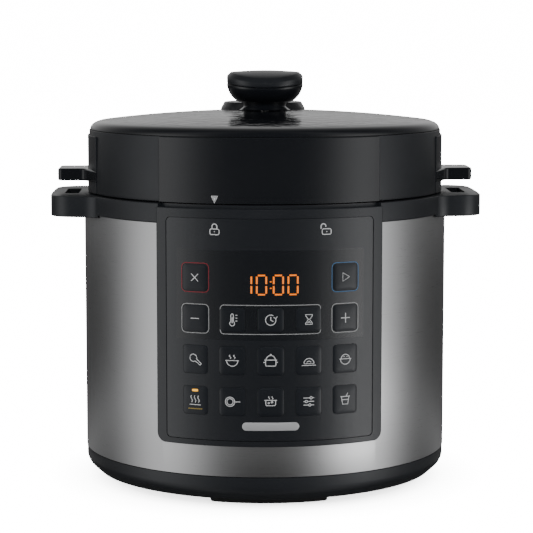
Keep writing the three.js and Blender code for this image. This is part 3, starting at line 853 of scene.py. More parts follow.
class COOKER_OT_collar(bpy.types.Operator):
    """Collar round the top of the body, with its two slotted side handles"""
    bl_idname = "cooker.collar"
    bl_label = "Collar and handles"
    bl_options = {"REGISTER", "UNDO"}

    def ear(self, side, edge):
        low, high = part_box("collar")[0].z + 5.5 * MM, COLLAR_HIGH - 0.25 * MM
        tip, half, corner = EAR_TIP / MM, 52, 19
        root = arc(135.5, -half - 15, 15, 152, 90, 8)
        bend = [(tip - corner + (corner - 0.7) * math.sin(a), -half + 1 + corner - corner * math.cos(a))
                for a in (math.radians(5 + 8.5 * i) for i in range(11))]
        plan = mirrored_plan([(112, -half - 8)] + root + bend + [(tip - 0.1, -16), (tip - 0.05, -5)])
        piece = plan_piece("ear", plan, low, high, edge)
        slot = block("slot", (138.2 * MM, -21.5 * MM, 0.19), (148.6 * MM, 21.5 * MM, 0.22))
        rounded_upright(slot, 1.6 * MM, 4)
        carved(piece, slot)
        piece.rotation_euler.z = 0 if side > 0 else math.pi
        return settled(piece)

    def execute(self, context):
        edge = context.scene.cooker_sizes.edge
        outer = 136.5 * MM
        outline = [(outer, COLLAR_LOW), (outer, COLLAR_HIGH), (119.5 * MM, COLLAR_HIGH),
                   (119.5 * MM, COLLAR_HIGH - 3 * MM), (131 * MM, COLLAR_HIGH - 3 * MM),
                   (131 * MM, 198 * MM), (133.3 * MM, 198 * MM), (133.3 * MM, COLLAR_LOW)]
        collar = turned("collar_ring", eased(outline, edge))
        for side in (1, -1):
            ear = self.ear(side, edge)
            inside = [(0.09, 0.19), (0.1361, 0.19), (0.1361, COLLAR_LOW), (0.1335, COLLAR_LOW),
                      (0.1335, 0.22), (0.09, 0.22)]
            carved(ear, turned("inside", inside))
            united(collar, ear)
        half = (PANEL_HALF + math.radians(0.25)) * PANEL_R
        notch = front_plate("notch", -half, half, 0.19, 0.22, 0, 8 * MM)
        carved(collar, curved(notch, 139.9 * MM, 2))
        drain = block("drain", (-3.6 * MM, 128.5 * MM, 0.19), (3.6 * MM, 130.6 * MM, 0.22))
        carved(collar, drain)
        finished(collar, "housing", "satin_black", satin_plastic(), "collar")
        return {"FINISHED"}


# ---- Control panel ---------------------------------------------------------------
class COOKER_OT_panel_frame(bpy.types.Operator):
    """Frame of the control panel"""
    bl_idname = "cooker.panel_frame"
    bl_label = "Panel frame"
    bl_options = {"REGISTER", "UNDO"}

    def execute(self, context):
        low, high = heights("panel_bezel")
        half = PANEL_HALF * PANEL_R
        bezel = front_plate("panel_frame", -half, half, low, high + 12 * MM, 6.8 * MM, 2.4 * MM, 8)
        with editing(bezel):
            bpy.ops.mesh.bisect(plane_co=(0, 0, high), plane_no=(0, 0, 1), use_fill=True, clear_outer=True)
        bevelled(bezel, 0.8 * MM, 4, 40)
        seat_half, gap = FILM_HALF * PANEL_R + 0.2 * MM, 0.2 * MM
        seat = front_plate("seat", -seat_half, seat_half, FILM_LOW - gap, FILM_HIGH + gap, 3.4 * MM, 0.011)
        seat.location.y = -CUTTER_FRONT
        carved(bezel, settled(seat))
        curved(bezel, PANEL_R, follow=True)
        finished(bezel, "housing", "satin_black", panel_plastic(), "panel_bezel", broad=True)
        return {"FINISHED"}


class COOKER_OT_film(bpy.types.Operator):
    """Printed control film with a hole for each key"""
    bl_idname = "cooker.film"
    bl_label = "Control film"
    bl_options = {"REGISTER", "UNDO"}

    def execute(self, context):
        half = FILM_HALF * FILM_R
        film = front_plate("printed_film", -half, half, FILM_LOW, FILM_HIGH, 3.2 * MM, 1.2 * MM)
        holes = []
        for _, column, row, width, height in KEYS:
            x, z = column * FILM_R, ROW_Z[row]
            w, h = width / 2 + KEY_GAP, height / 2 + KEY_GAP
            hole = front_plate("hole", x - w, x + w, z - h, z + h, KEY_CORNER, 0.01, 4)
            hole.location.y = -CUTTER_FRONT
            holes.append(settled(hole))
        bevelled(film, 0.22 * MM, 2, 50)
        carved(film, joined("holes", *holes))
        curved(film, FILM_R, follow=True)
        finished(film, "housing", "film_black", control_film(), "control_film", broad=True)
        return {"FINISHED"}


def sliders():
    """Three lines with a round knob on each."""
    rows = []
    for z, knob in ((2.5, 1.6), (0, -1.8), (-2.5, 0.7)):
        rows += [[(-3.8, z), (knob - 0.9, z)], [(knob + 0.9, z), (3.8, z)], ring(knob, z, 0.85, 12)]
    return rows


def saucepan(half, brim, depth):
    """The sides and the bottom of a pan, its lower corners cut."""
    bottom = [(-half, brim), (-half, 0.8 - depth), (0.6 - half, -depth)]
    return bottom + [(-x, z) for x, z in reversed(bottom)]


PICTURES = {
    "cancel": [[(-2.6, -2.6), (2.6, 2.6)], [(-2.6, 2.6), (2.6, -2.6)]],
    "start": [[(-2.2, 3.0), (3.0, 0), (-2.2, -3.0), "closed"]],
    "minus": [[(-3.1, 0), (3.1, 0)]],
    "plus": [[(-3.4, 0), (3.4, 0)], [(0, -3.4), (0, 3.4)]],
    "temperature": [arc(0, -2.6, 1.7, 122, 418, 18) + arc(0, 3.2, 0.9, 0, 180, 6) + ["closed"],
                    [(0, -2.4), (0, 1.6)], *([(2.4, z), (3.6, z)] for z in (3.2, 1.2, -0.8))],
    "delay": [arc(0, 0, 3.6, 60, 380), [(0, 2.2), (0, 0), (1.8, -1.0)], [(2.0, 2.0), (3.5, 1.0), (4.6, 2.5)]],
    "time": [[(-2.4, 3.4), (2.4, 3.4), (2.4, 2.6), (0.4, 0), (2.4, -2.6), (2.4, -3.4),
              (-2.4, -3.4), (-2.4, -2.6), (-0.4, 0), (-2.4, 2.6), "closed"],
             [(-1.1, -2.6), (0, -1.4), (1.1, -2.6)]],
    "poultry": [arc(-1.2, 1.0, 2.6, -20, 300), [(0.1, -1.2), (2.9, -3.0)], [(1.3, 0.2), (3.6, -1.9)],
                arc(3.7, -2.9, 0.9, -150, 95, 8)],
    "soup": [arc(0, 0.2, 4.0, 180, 360), [(-4.8, 0.2), (4.8, 0.2)], wave(-1.5, 1.5, 2.6),
             wave(1.5, 1.5, 2.6)],
    "stew": [saucepan(3.6, 0.8, 3.4), [(-4.4, 0.8), (4.4, 0.8)], arc(0, 0.8, 3.2, 0, 180),
             arc(0, 4.4, 0.5, 0, 180, 5), [(-5.0, -0.8), (-3.6, -0.8)], [(3.6, -0.8), (5.0, -0.8)]],
    "aspic": [arc(0, -2.2, 3.6, 0, 180) + ["closed"], [(-5.0, -3.4), (5.0, -3.4)],
              arc(0, -2.2, 1.7, 30, 150, 8)],
    "rice": [arc(0, -0.2, 3.8, 180, 360), [(-4.6, -0.2), (4.6, -0.2)], arc(0, -0.2, 3.2, 0, 180),
             [(-1.4, 1.1), (-0.8, 1.7)], [(0.9, 1.0), (1.5, 1.5)]],
    "keep_warm": [*(wave(x, -1.6, 4.8) for x in (-2.6, 0, 2.6)), [(-4.2, -3.2), (4.2, -3.2)]],
    "fry": [ring(-1.6, 0, 3.3), ring(-1.6, 0, 2.2), [(1.7, 0), (5.6, 0)]],
    "simmer": [saucepan(3.4, 1.4, 2.4), [(-4.4, 1.4), (4.4, 1.4)], ring(-1.4, -0.6, 0.5, 10),
               ring(0.9, 0.1, 0.6, 10), wave(-1.2, 2.2, 1.9, 0.35), wave(1.2, 2.2, 1.9, 0.35)],
    "manual": sliders(),
    "yoghurt": [[(-2.9, 2.0), (-2.0, -3.4), (2.0, -3.4), (2.9, 2.0)], [(-3.6, 2.0), (3.6, 2.0)],
                [(-2.5, -0.2), (2.5, -0.2)], [(0.6, 2.0), (2.0, 4.4)]],
}

PROGRAMMES = (("poultry", "soup", "stew", "aspic", "rice"),
              ("keep_warm", "fry", "simmer", "manual", "yoghurt"))
COLUMNS = (-SIDE_COLUMN, -COLUMN, 0.0, COLUMN, SIDE_COLUMN)
# name, angle, row, width, height
KEYS = [("cancel", -SIDE_COLUMN, 0, 18.6 * MM, 18.6 * MM),
        ("start", SIDE_COLUMN, 0, 18.6 * MM, 18.6 * MM),
        ("minus", -SIDE_COLUMN, 1, 18.6 * MM, 18.4 * MM),
        ("temperature", -COLUMN, 1, 18 * MM, 17 * MM),
        ("delay", 0.0, 1, 18 * MM, 17 * MM),
        ("time", COLUMN, 1, 18 * MM, 17 * MM),
        ("plus", SIDE_COLUMN, 1, 18.6 * MM, 18.4 * MM)]
for row, names in enumerate(PROGRAMMES, start=2):
    for angle, name in zip(COLUMNS, names):
        KEYS.append((name, angle, row, 18.4 * MM, 20 * MM))


class COOKER_OT_keys(bpy.types.Operator):
    """Soft-edged keys, each with its own picture"""
    bl_idname = "cooker.keys"
    bl_label = "Keys"
    bl_options = {"REGISTER", "UNDO"}

    def cap(self, width, height):
        """A pillow: its rim lies level with the film and its middle stands proud."""
        cap = front_plate("cap", -width / 2, width / 2, -height / 2, height / 2, KEY_CORNER, 1.8 * MM, 5)
        with editing(cap, "FACE"):
            select_where(cap, "faces", lambda f: f.normal.y < -0.9)
            bpy.ops.mesh.inset(thickness=0.3 * MM, depth=0.1 * MM)
            steps = ((0.95, 0.12), (0.93, 0.12), (0.88, 0.1), (0.83, 0.07), (0.72, 0.05), (0.5, 0.02))
            for shrink, outward in steps:
                bpy.ops.mesh.extrude_region_move(TRANSFORM_OT_translate={"value": (0, -outward * MM, 0)})
                bpy.ops.transform.resize(value=(shrink, 1, shrink), center_override=(0, 0, 0))
        return cap

    def execute(self, context):
        caps = {}
        for name, angle, row, width, height in KEYS:
            node = "button_" + name
            if (width, height) not in caps:
                caps[width, height] = curved(self.cap(width, height), FILM_R, follow=True)
            cap = copied(caps[width, height], "key_" + name)
            cap.rotation_euler.z, cap.location.z = angle, ROW_Z[row]
            finished(settled(cap), node, "film_black", key_rubber(), node)
            printed("picture_" + name, PICTURES[name], white_ink(), node, angle * CAP_R, ROW_Z[row], CAP_R)
        for cap in caps.values():
            discard(cap)
        return {"FINISHED"}


class COOKER_OT_panel_marks(bpy.types.Operator):
    """Outlines, lock signs, the set mark and the warming light on the film"""
    bl_idname = "cooker.panel_marks"
    bl_label = "Panel marks"
    bl_options = {"REGISTER", "UNDO"}

    def execute(self, context):
        thin = 0.6 * MM
        key_frame = rounded_frame(20.2, 20.2, 3.2)
        framed = (("cancel", -SIDE_COLUMN, 0, cancel_ink), ("start", SIDE_COLUMN, 0, start_ink),
                  ("minus", -SIDE_COLUMN, 1, outline_ink), ("plus", SIDE_COLUMN, 1, outline_ink))
        for name, angle, row, ink_of in framed:
            printed("outline_" + name, [key_frame], ink_of(), "housing",
                    angle * FILM_R, ROW_Z[row], FILM_R, width=thin)
        group = rounded_frame(2 * 14.65 * math.pi / 180 * FILM_R / MM, 20.2, 2.6)
        printed("outline_group", [group], outline_ink(), "housing", 0, ROW_Z[1], FILM_R, width=thin)
        body = rounded_frame(6.6, 3.9, 1.2)
        body = [p if p == "closed" else (p[0], p[1] - 1.6) for p in body]
        dot = [(-0.35, -1.6), (0.35, -1.6)]
        shut = arc(0, 2.1, 1.75, 0, 180, 10)
        closed_bow = [(1.75, 0.4)] + shut + [(-1.75, 0.4)]
        open_bow = [(-1.75, 0.4)] + shut[::-1] + [(1.75, 1.6)]
        open_bow = [(x - 2.4, z) for x, z in open_bow]
        for name, angle, bow in (("closed", -16.3, closed_bow), ("open", 16.4, open_bow)):
            printed("lock_" + name, [body, dot, bow], white_ink(), "housing",
                    math.radians(angle) * FILM_R, 198 * MM, FILM_R, width=0.7 * MM)
        light = front_plate("warming_light", -2.2 * MM, 2.2 * MM, -0.8 * MM, 0.8 * MM, 0.5 * MM, 0.4 * MM, 3)
        light.location = (-SIDE_COLUMN * CAP_R, -0.05 * MM, 85.2 * MM)
        curved(settled(light), CAP_R, 4)
        finished(light, "button_keep_warm", "film_black", lit_yellow())
        printed("set_line", [[(-5.3, 0), (5.3, 0)]], dim_gold(), "button_keep_warm",
                -SIDE_COLUMN * CAP_R, 72.2 * MM, CAP_R, width=0.7 * MM)
        triangle = [(-1.6, -1.2), (0, 1.4), (1.6, -1.2), "closed"]
        printed("bottom_mark", [triangle], faint_ink(), "housing", 0, 54 * MM, FILM_R, width=0.5 * MM)
        return {"FINISHED"}


class COOKER_OT_display(bpy.types.Operator):
    """Lit seven-segment digits"""
    bl_idname = "cooker.display"
    bl_label = "Display"
    bl_options = {"REGISTER", "UNDO"}

    def execute(self, context):
        half_w, half_h, gap = 3.25, 6.65, 0.75
        right = [[(half_w, gap), (half_w, half_h - gap)], [(half_w, -gap), (half_w, gap - half_h)]]
        left = [[(-x, z) for x, z in line] for line in right]
        flat = [[(-half_w + gap, z), (half_w - gap, z)] for z in (half_h, -half_h)]
        zero = right + left + flat
        cells = ((-16.6, right), (-6.35, zero), (5.3, zero), (15.5, zero))
        digits = [[(x + at, z) for x, z in line] for at, lines in cells for line in lines]
        height = sum(heights("display_module")) / 2
        printed("lit_digits", digits, lit_amber(), "housing", 0, height, FILM_R,
                slot="display_black", width=1.2 * MM)
        dots = [[(-0.02, z - 0.4), (0.02, z + 0.4)] for z in (2.3, -2.3)]
        printed("lit_colon", dots, lit_amber(), "housing", 0, height, FILM_R,
                slot="display_black", width=1.3 * MM)
        return {"FINISHED"}


class COOKER_OT_badge(bpy.types.Operator):
    """Blank silver badge"""
    bl_idname = "cooker.badge"
    bl_label = "Badge"
    bl_options = {"REGISTER", "UNDO"}

    def execute(self, context):
        low, high = heights("badge_strip")
        radius = FILM_R + 0.8 * MM
        half = math.radians(8.3) * FILM_R
        badge = front_plate("badge", -half, half, low, high, (high - low) / 2 - 0.05 * MM, 0.5 * MM, 8)
        bevelled(badge, 0.2 * MM, 2, 50)
        finished(curved(badge, radius), "housing", "badge_silver", badge_silver(), "badge_strip")
        return {"FINISHED"}


# ---- Lid ---------------------------------------------------------------------------
class COOKER_OT_lid_skirt(bpy.types.Operator):
    """Skirt of the lid, with its front panel and side stubs"""
    bl_idname = "cooker.lid_skirt"
    bl_label = "Lid skirt"
    bl_options = {"REGISTER", "UNDO"}

    def stub(self, side):
        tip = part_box("lid_skirt")[1].x / MM
        flank = [(124.2, -45.6), (128.9, -33.5), (132.6, -23.5), (134.0, -19.6), (135.4, -18.5),
                 (137, -18.2)]
        end = [(tip - 3.4, -17.9), (tip - 1.6, -17.2), (tip - 0.4, -15.6), (tip, -13.6)]
        plan = mirrored_plan([(112, -44), (121, -46.0)] + flank + end)
        piece = plan_piece("lid_stub", plan, 223.2 * MM, 232.3 * MM, 1.3 * MM)
        carved(piece, post("bore", 129.8 * MM, 0.2, 0.25, facets=96))
        piece.rotation_euler.z = 0 if side > 0 else math.pi
        piece.name = "lid_stub_right" if side > 0 else "lid_stub_left"
        return settled(piece)

    def side_panel(self, side):
        radius = 132.25 * MM
        half = math.radians(20) * radius
        panel = front_plate("side_panel", -half, half, SKIRT_LOW, SKIRT_HIGH - 4 * MM, 0.8 * MM, 1.6 * MM, 2)
        curved(bevelled(panel, 0.35 * MM, 3, 40), radius)
        panel.rotation_euler.z = side * math.pi / 2
        panel.name = "side_panel_right" if side > 0 else "side_panel_left"
        return settled(panel)

    def execute(self, context):
        foot, head = 131.8 * MM, 131 * MM
        web = [(129.1, 242.3), (114, 242.3), (114, 239.8), (129.1, 239.8)]
        outline = [(foot, SKIRT_LOW), (head, SKIRT_HIGH), (128.8 * MM, SKIRT_HIGH), *mm(web),
                   (129.4 * MM, SKIRT_LOW)]
        skirt = turned("skirt", eased(outline, context.scene.cooker_sizes.edge))
        finished(skirt, "lid", "satin_black", satin_plastic(), "lid_skirt")
        half = math.radians(35.2) * LID_PANEL_R
        top = SKIRT_HIGH - 0.3 * MM
        panel = front_plate("lid_front_panel", -half, half, SKIRT_LOW, top, 0.5 * MM, 3.2 * MM, 2)
        bevelled(panel, 0.8 * MM, 4, 40)
        finished(curved(panel, LID_PANEL_R), "lid", "satin_black", lid_front(), broad=True)
        for side in (1, -1):
            finished(self.stub(side), "lid", "gloss_black", gloss_plastic(), broad=True)
            finished(self.side_panel(side), "lid", "satin_black", satin_plastic(), broad=True)
        marker = [(-2.2, 2.3), (2.2, 2.3), (0, -2.3), "closed"]
        core = [(-1.2, 1.6), (1.2, 1.6), (0, -0.6), "closed"]
        printed("open_mark", [marker, core, [(0, 1.2), (0, 0)]], white_ink(), "lid",
                math.radians(-16.7) * LID_PANEL_R, 218.4 * MM, LID_PANEL_R, "satin_black", 0.9 * MM)
        return {"FINISHED"}


def dome_height(radius):
    return (274.5 - 6.6 * (radius / 117) ** 2.1) * MM


class COOKER_OT_lid_cover(bpy.types.Operator):
    """Rippled lid cover, its valve boss and its shoulder"""
    bl_idname = "cooker.lid_cover"
    bl_label = "Lid cover"
    bl_options = {"REGISTER", "UNDO"}

    def execute(self, context):
        radii = [3.6, 8, 14, 20, 30, 40, 50, 60, 70, 80, 90, 98, 105, 111, 116, 120, 123.2]
        top = [(r * MM, dome_height(r)) for r in radii]
        shoulder = mm([(125.4, 266.5), (127.3, 265.7), (128.8, 264.6), (129.8, 263.3), (130.3, 262.2),
                       (130.4, 261.4)])
        under = mm([(128.4, 261.3), (128.4, 257.5), (126.4, 257.5), (126.4, 262.2), (121, 264.4)])
        inside = [(r * MM, dome_height(r) - 2.6 * MM) for r in (112, 75, 40, 3.6)]
        cover = turned("lid_dome", top + shoulder + under + inside)
        boss_low = 268 * MM
        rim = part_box("lid_cover")[1].z
        sides = [(28.9, 0), (29.5, -0.12), (29.9, -0.5), (30.5, -1.6), (31.4, -3.2), (32.4, -5.2)]
        boss = [(r * MM, rim + z * MM) for r, z in sides]
        boss = turned("boss", [(0, rim)] + boss + [(32.4 * MM, boss_low), (0, boss_low)],
                      facets=96, centre=BOSS, loop=False)
        united(cover, boss)
        carved(cover, post("hollow", 27.4 * MM, 0.25, rim - 2.6 * MM, BOSS, 64),
               post("vent", 14 * MM, 0.25, 0.3, VENT, 64), post("pin_hole", 3.7 * MM, 0.25, 0.3, FLOAT, 32))
        finished(cover, "lid", "lid_gloss", lid_gloss(), "lid_cover")
        return {"FINISHED"}


class COOKER_OT_knob(bpy.types.Operator):
    """Lid knob: stem, grip and cap"""
    bl_idname = "cooker.knob"
    bl_label = "Knob"
    bl_options = {"REGISTER", "UNDO"}

    def stacked(self, name, rings):
        """Rounded rings, each (half width, height, sag) in millimetres, pushed up one by one.

        The sag lowers a ring towards the knob's front and back."""
        half_x, half_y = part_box("knob_body")[1].x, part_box("knob_body")[1].y
        half, z, _ = rings[0]
        obj = added(name, bpy.ops.mesh.primitive_plane_add, size=2, location=(0, 0, z * MM))
        obj.scale = (half_x, half_y, 1)
        settled(obj)
        with editing(obj):
            bpy.ops.mesh.bevel(offset=half_x - 0.2 * MM, segments=24, affect="VERTICES", profile=0.535)
            bpy.ops.mesh.select_all(action="SELECT")
            scale = half * MM / half_x
            bpy.ops.transform.resize(value=(scale, scale, 1), center_override=(0, 0, 0))
            for new_half, new_z, _ in rings[1:]:
                push_ring((0, 0), new_half / half, (new_z - z) * MM)
                half, z = new_half, new_z
        sag = {round(z, 2): amount for _, z, amount in rings}
        for vertex in obj.data.vertices:
            vertex.co.z -= sag[round(vertex.co.z / MM, 2)] * MM * (vertex.co.y / half_y) ** 2
        return cleaned(obj)

    def execute(self, context):
        outline = [(19.2, 274.9), (18.0, 275.5), (16.9, 276.2), (16.1, 276.9), (15.75, 277.7), (15.9, 278.7),
                   (16.5, 279.5), (17.2, 280.1), (17.6, 280.4)]
        stem = turned("knob_neck", [(0, 275 * MM)] + mm(outline) + [(0, 280.4 * MM)], facets=96, loop=False)
        carved(stem, post("bore", 3.4 * MM, 0.27, 0.2794, facets=32))
        finished(stem, "lid", "gloss_black", gloss_plastic(), "knob_stem")
        grip = [(17.7, 280.55, 0), (19.4, 280.9, 0), (21.4, 281.85, 0), (23.2, 283.2, 0.2),
                (24.8, 284.9, 0.6), (26.1, 286.8, 1.0), (27.1, 288.8, 1.5), (27.8, 290.8, 2.1),
                (28.25, 292.6, 2.5), (28.4, 294.0, 2.8), (28.3, 294.45, 2.9), (28.0, 294.55, 2.9)]
        finished(self.stacked("knob_grip", grip), "lid", "gloss_black", gloss_plastic(), "knob_body")
        cap = [(27.8, 294.85, 2.9), (28.15, 294.95, 2.9), (28.3, 295.3, 2.9), (28.3, 299.6, 4.2),
               (28.15, 300.3, 4.5), (27.7, 300.95, 4.7), (25.9, 302.6, 5.1), (25.4, 302.95, 5.2),
               (24.6, 303.2, 5.2), (21, 303.5, 5.2), (16, 303.8, 5.2), (10, 304.1, 5.2),
               (5, 304.25, 5.2), (1.5, 304.3, 5.2)]
        finished(self.stacked("knob_top", cap), "lid", "satin_black", panel_plastic(), "knob_cap")
        return {"FINISHED"}


class COOKER_OT_steam_valve(bpy.types.Operator):
    """Steam valve knob and the float valve"""
    bl_idname = "cooker.steam_valve"
    bl_label = "Steam valve"
    bl_options = {"REGISTER", "UNDO"}

    def execute(self, context):
        low, high = 272 * MM, 283.2 * MM
        radius = 13 * MM
        outline = [(radius, low), (radius, high), (11.2 * MM, high + 0.3 * MM), (0, high + 0.3 * MM)]
        sides = eased([(0.0, low)] + outline, 0.8 * MM)
        sides = [(0, low)] + [p for p in sides if p[0] > 1e-4] + [(0, high + 0.3 * MM)]
        dial = turned("valve_dial", sides, facets=72, centre=VENT, loop=False)
        carved(dial, post("hollow", 11.4 * MM, 0.27, 280.6 * MM, VENT, 48))
        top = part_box("steam_valve_knob")[1].z
        half_x, half_y = 2.3 * MM, 10.5 * MM
        grip = block("grip", (-half_x, VENT.y - half_y, high - 0.5 * MM), (half_x, VENT.y + half_y, top))
        rounded_upright(grip, 2.0 * MM, 5)
        bevelled(grip, 0.7 * MM, 3, 60)
        united(dial, grip)
        finished(dial, "steam_valve", "satin_black", satin_plastic(), "steam_valve_knob")
        low, high = heights("float_valve")
        pin = [(5.2, low), (5.2, low + 1.9 * MM), (2.6, low + 2.3 * MM), (2.6, high - 0.6 * MM), (2.1, high)]
        pin = turned("float_pin", [(0, low)] + [(r * MM, z) for r, z in pin] + [(0, high)],
                     facets=32, centre=FLOAT, loop=False)
        finished(pin, "float_valve", "pressed_steel", pressed_steel(), "float_valve")
        return {"FINISHED"}


def lugs(name, radius, depth, low, high, edge, is_free):
    """Six locking lugs round a rim, rounded at their free ends."""
    half = math.radians(11) * radius
    for i in range(6):
        lug = block(name + str(i + 1), (-half, 0, low), (half, depth, high))
        rounded_upright(lug, 1.2 * MM, 3, is_free)
        curved(bevelled(lug, edge, 2), radius, 3)
        lug.rotation_euler.z = math.radians(60 * i)
        yield settled(lug)


class COOKER_OT_lid_inside(bpy.types.Operator):
    """Steel plate, its lugs and the seal under the lid"""
    bl_idname = "cooker.lid_inside"
    bl_label = "Inside of the lid"
    bl_options = {"REGISTER", "UNDO"}

    def execute(self, context):
        outline = [(3.8, 237.3), (3.8, 238.8), (121.5, 238.8), (123, 237.3), (123, 218.5), (121.4, 218.5),
                   (121.4, 237.3)]
        plate = turned("locking_plate", eased(mm(outline), 0.5 * MM))
        carved(plate, post("vent", 4.5 * MM, 0.23, 0.245, VENT, 32),
               post("pin", 3.3 * MM, 0.23, 0.245, FLOAT, 32))
        finished(plate, "lid", "pressed_steel", pressed_steel(), "lid_plate")
        for lug in lugs("lid_lug_", 121.8 * MM, 2.6 * MM, 218.5 * MM, 220.3 * MM, 0.3 * MM,
                        lambda e: e.verts[0].co.y > 1 * MM):
            finished(lug, "lid", "pressed_steel", pressed_steel())
        profile = [(104.4, 229.6), (109.5, 228.9), (115.5, 229.2), (120.3, 231), (120.3, 236.7), (113, 236.7),
                   (112, 232.8), (109.8, 232.8), (108.8, 236.7), (104.4, 236.7)]
        seal = turned("silicone_seal", eased(mm(profile), 1.0 * MM, 4))
        finished(seal, "lid_seal", "seal_silicone", seal_silicone(), "sealing_ring", angle=50)
        return {"FINISHED"}


# ---- Pot and well --------------------------------------------------------------------
class COOKER_OT_cooking_pot(bpy.types.Operator):
    """Lift-out cooking pot with its level lines"""
    bl_idname = "cooker.cooking_pot"
    bl_label = "Cooking pot"
    bl_options = {"REGISTER", "UNDO"}

    def execute(self, context):
        low, high = heights("inner_pot")
        outline = [(98, 61.3), (101.6, 61.7), (104.8, 63), (107.5, 65.2), (109.4, 67.9), (110.5, 71),
                   (110.8, 74), (110.8, 224.6), (114.2, 225), (115, 226), (115, 227.3), (114.1, 228.4),
                   (110.4, 228.4), (109.2, 227.2), (109, 74.5), (108.4, 71.2), (106.8, 68.2), (104.3, 65.8),
                   (101, 64.4), (97.5, 63.8)]
        pot = turned("pot", [(0, low)] + mm(outline) + [(0, 63.8 * MM)], loop=False)
        finished(pot, "cooking_pot", "pot_coating", pot_coating(), "inner_pot")
        inside = 109 * MM - 0.02 * MM
        for i, level in enumerate((0.30, 0.45, 0.60, 0.75, 0.90)):
            z = low + (high - low) * level
            line = strokes("level_line", [[(-5, 0), (5, 0)]], 0.7 * MM, 0.06 * MM, 0, z)
            curved(line, inside, 4)
            line.rotation_euler.z = math.pi
            line.name = "level_line_" + str(i + 1)
            finished(settled(line), "cooking_pot", "pot_coating", white_ink())
        return {"FINISHED"}


class COOKER_OT_well(bpy.types.Operator):
    """Fixed well round the pot, with its locking lugs"""
    bl_idname = "cooker.well"
    bl_label = "Well"
    bl_options = {"REGISTER", "UNDO"}

    def execute(self, context):
        outline = [(60, 44.5), (112.8, 44.5), (113.8, 45.5), (113.8, 209.3), (127, 209.3), (127, 211.1),
                   (113.8, 211.1), (113.8, 221), (115.6, 221), (115.6, 224.5), (112.3, 224.5), (112.3, 46),
                   (60, 46)]
        well = turned("well", eased(mm(outline), 0.4 * MM))
        finished(well, "housing", "well_aluminium", well_aluminium(), "outer_pot")
        for lug in lugs("well_lug_", 118.6 * MM, 3.4 * MM, 221 * MM, 224.5 * MM, 0.4 * MM,
                        lambda e: e.verts[0].co.y < 1 * MM):
            finished(lug, "housing", "well_aluminium", well_aluminium())
        return {"FINISHED"}


# ---- Pieces kept from the frame --------------------------------------------------------
REFINED = {  # node: (body, slot, material, edge in metres)
    "power_inlet": ("housing", "satin_black", satin_plastic, 0.5 * MM),
    "cup_pocket": ("housing", "satin_black", satin_plastic, 0.4 * MM),
    "condensate_cup": ("condensate_cup", "clear_cup", clear_cup, 0.5 * MM),
    "anti_block_shield": ("lid", "pressed_steel", pressed_steel, 0.2 * MM),
    "valve_weight": ("steam_valve", "polished_steel", polished_steel, 0.3 * MM),
    "heating_plate": ("housing", "cast_aluminium", cast_aluminium, 0.4 * MM),
    "power_board": ("housing", "board_green", board_green, 0.3 * MM),
    "control_board": ("housing", "board_green", board_green, 0.2 * MM),
    "pressure_switch": ("housing", "satin_black", satin_plastic, 0.4 * MM),
    "thermal_fuse": ("housing", "fuse_sleeve", fuse_sleeve, 0.4 * MM),
}

KEPT = {  # node: material
    "base_screw_1": pressed_steel, "base_screw_2": pressed_steel, "base_screw_3": pressed_steel,
    "display_module": smoked_display, "sensor_bracket": pressed_steel,
    "temperature_sensor": cast_aluminium, "seal_rack": polished_steel, "vent_pipe": polished_steel,
    "lid_screw": pressed_steel,
}


class COOKER_OT_fittings(bpy.types.Operator):
    """Rear fittings and inside pieces with softened edges"""
    bl_idname = "cooker.fittings"
    bl_label = "Fittings"
    bl_options = {"REGISTER", "UNDO"}

    def carried(self, node):
        """A loose copy of a CAD node, merged and with its flat faces made whole."""
        piece = copied(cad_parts[node], node.replace("_", "-"))
        piece.parent = None
        cleaned(piece)
        with editing(piece):
            bpy.ops.mesh.dissolve_limited(angle_limit=math.radians(1))
        for key in list(piece.keys()):
            if key.startswith("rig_"):
                del piece[key]
        return piece

    def execute(self, context):
        for node, (body, slot, material, edge) in REFINED.items():
            piece = bevelled(self.carried(node), edge, 2, 40)
            finished(piece, body, slot, material(), node)
        spring = self.carried("sensor_spring")
        finished(spring, "housing", "polished_steel", polished_steel(), "sensor_spring", angle=50)
        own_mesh(spring)
        for node, material in KEPT.items():
            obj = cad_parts[node]
            obj.data.materials.clear()
            obj.data.materials.append(material())
        return {"FINISHED"}


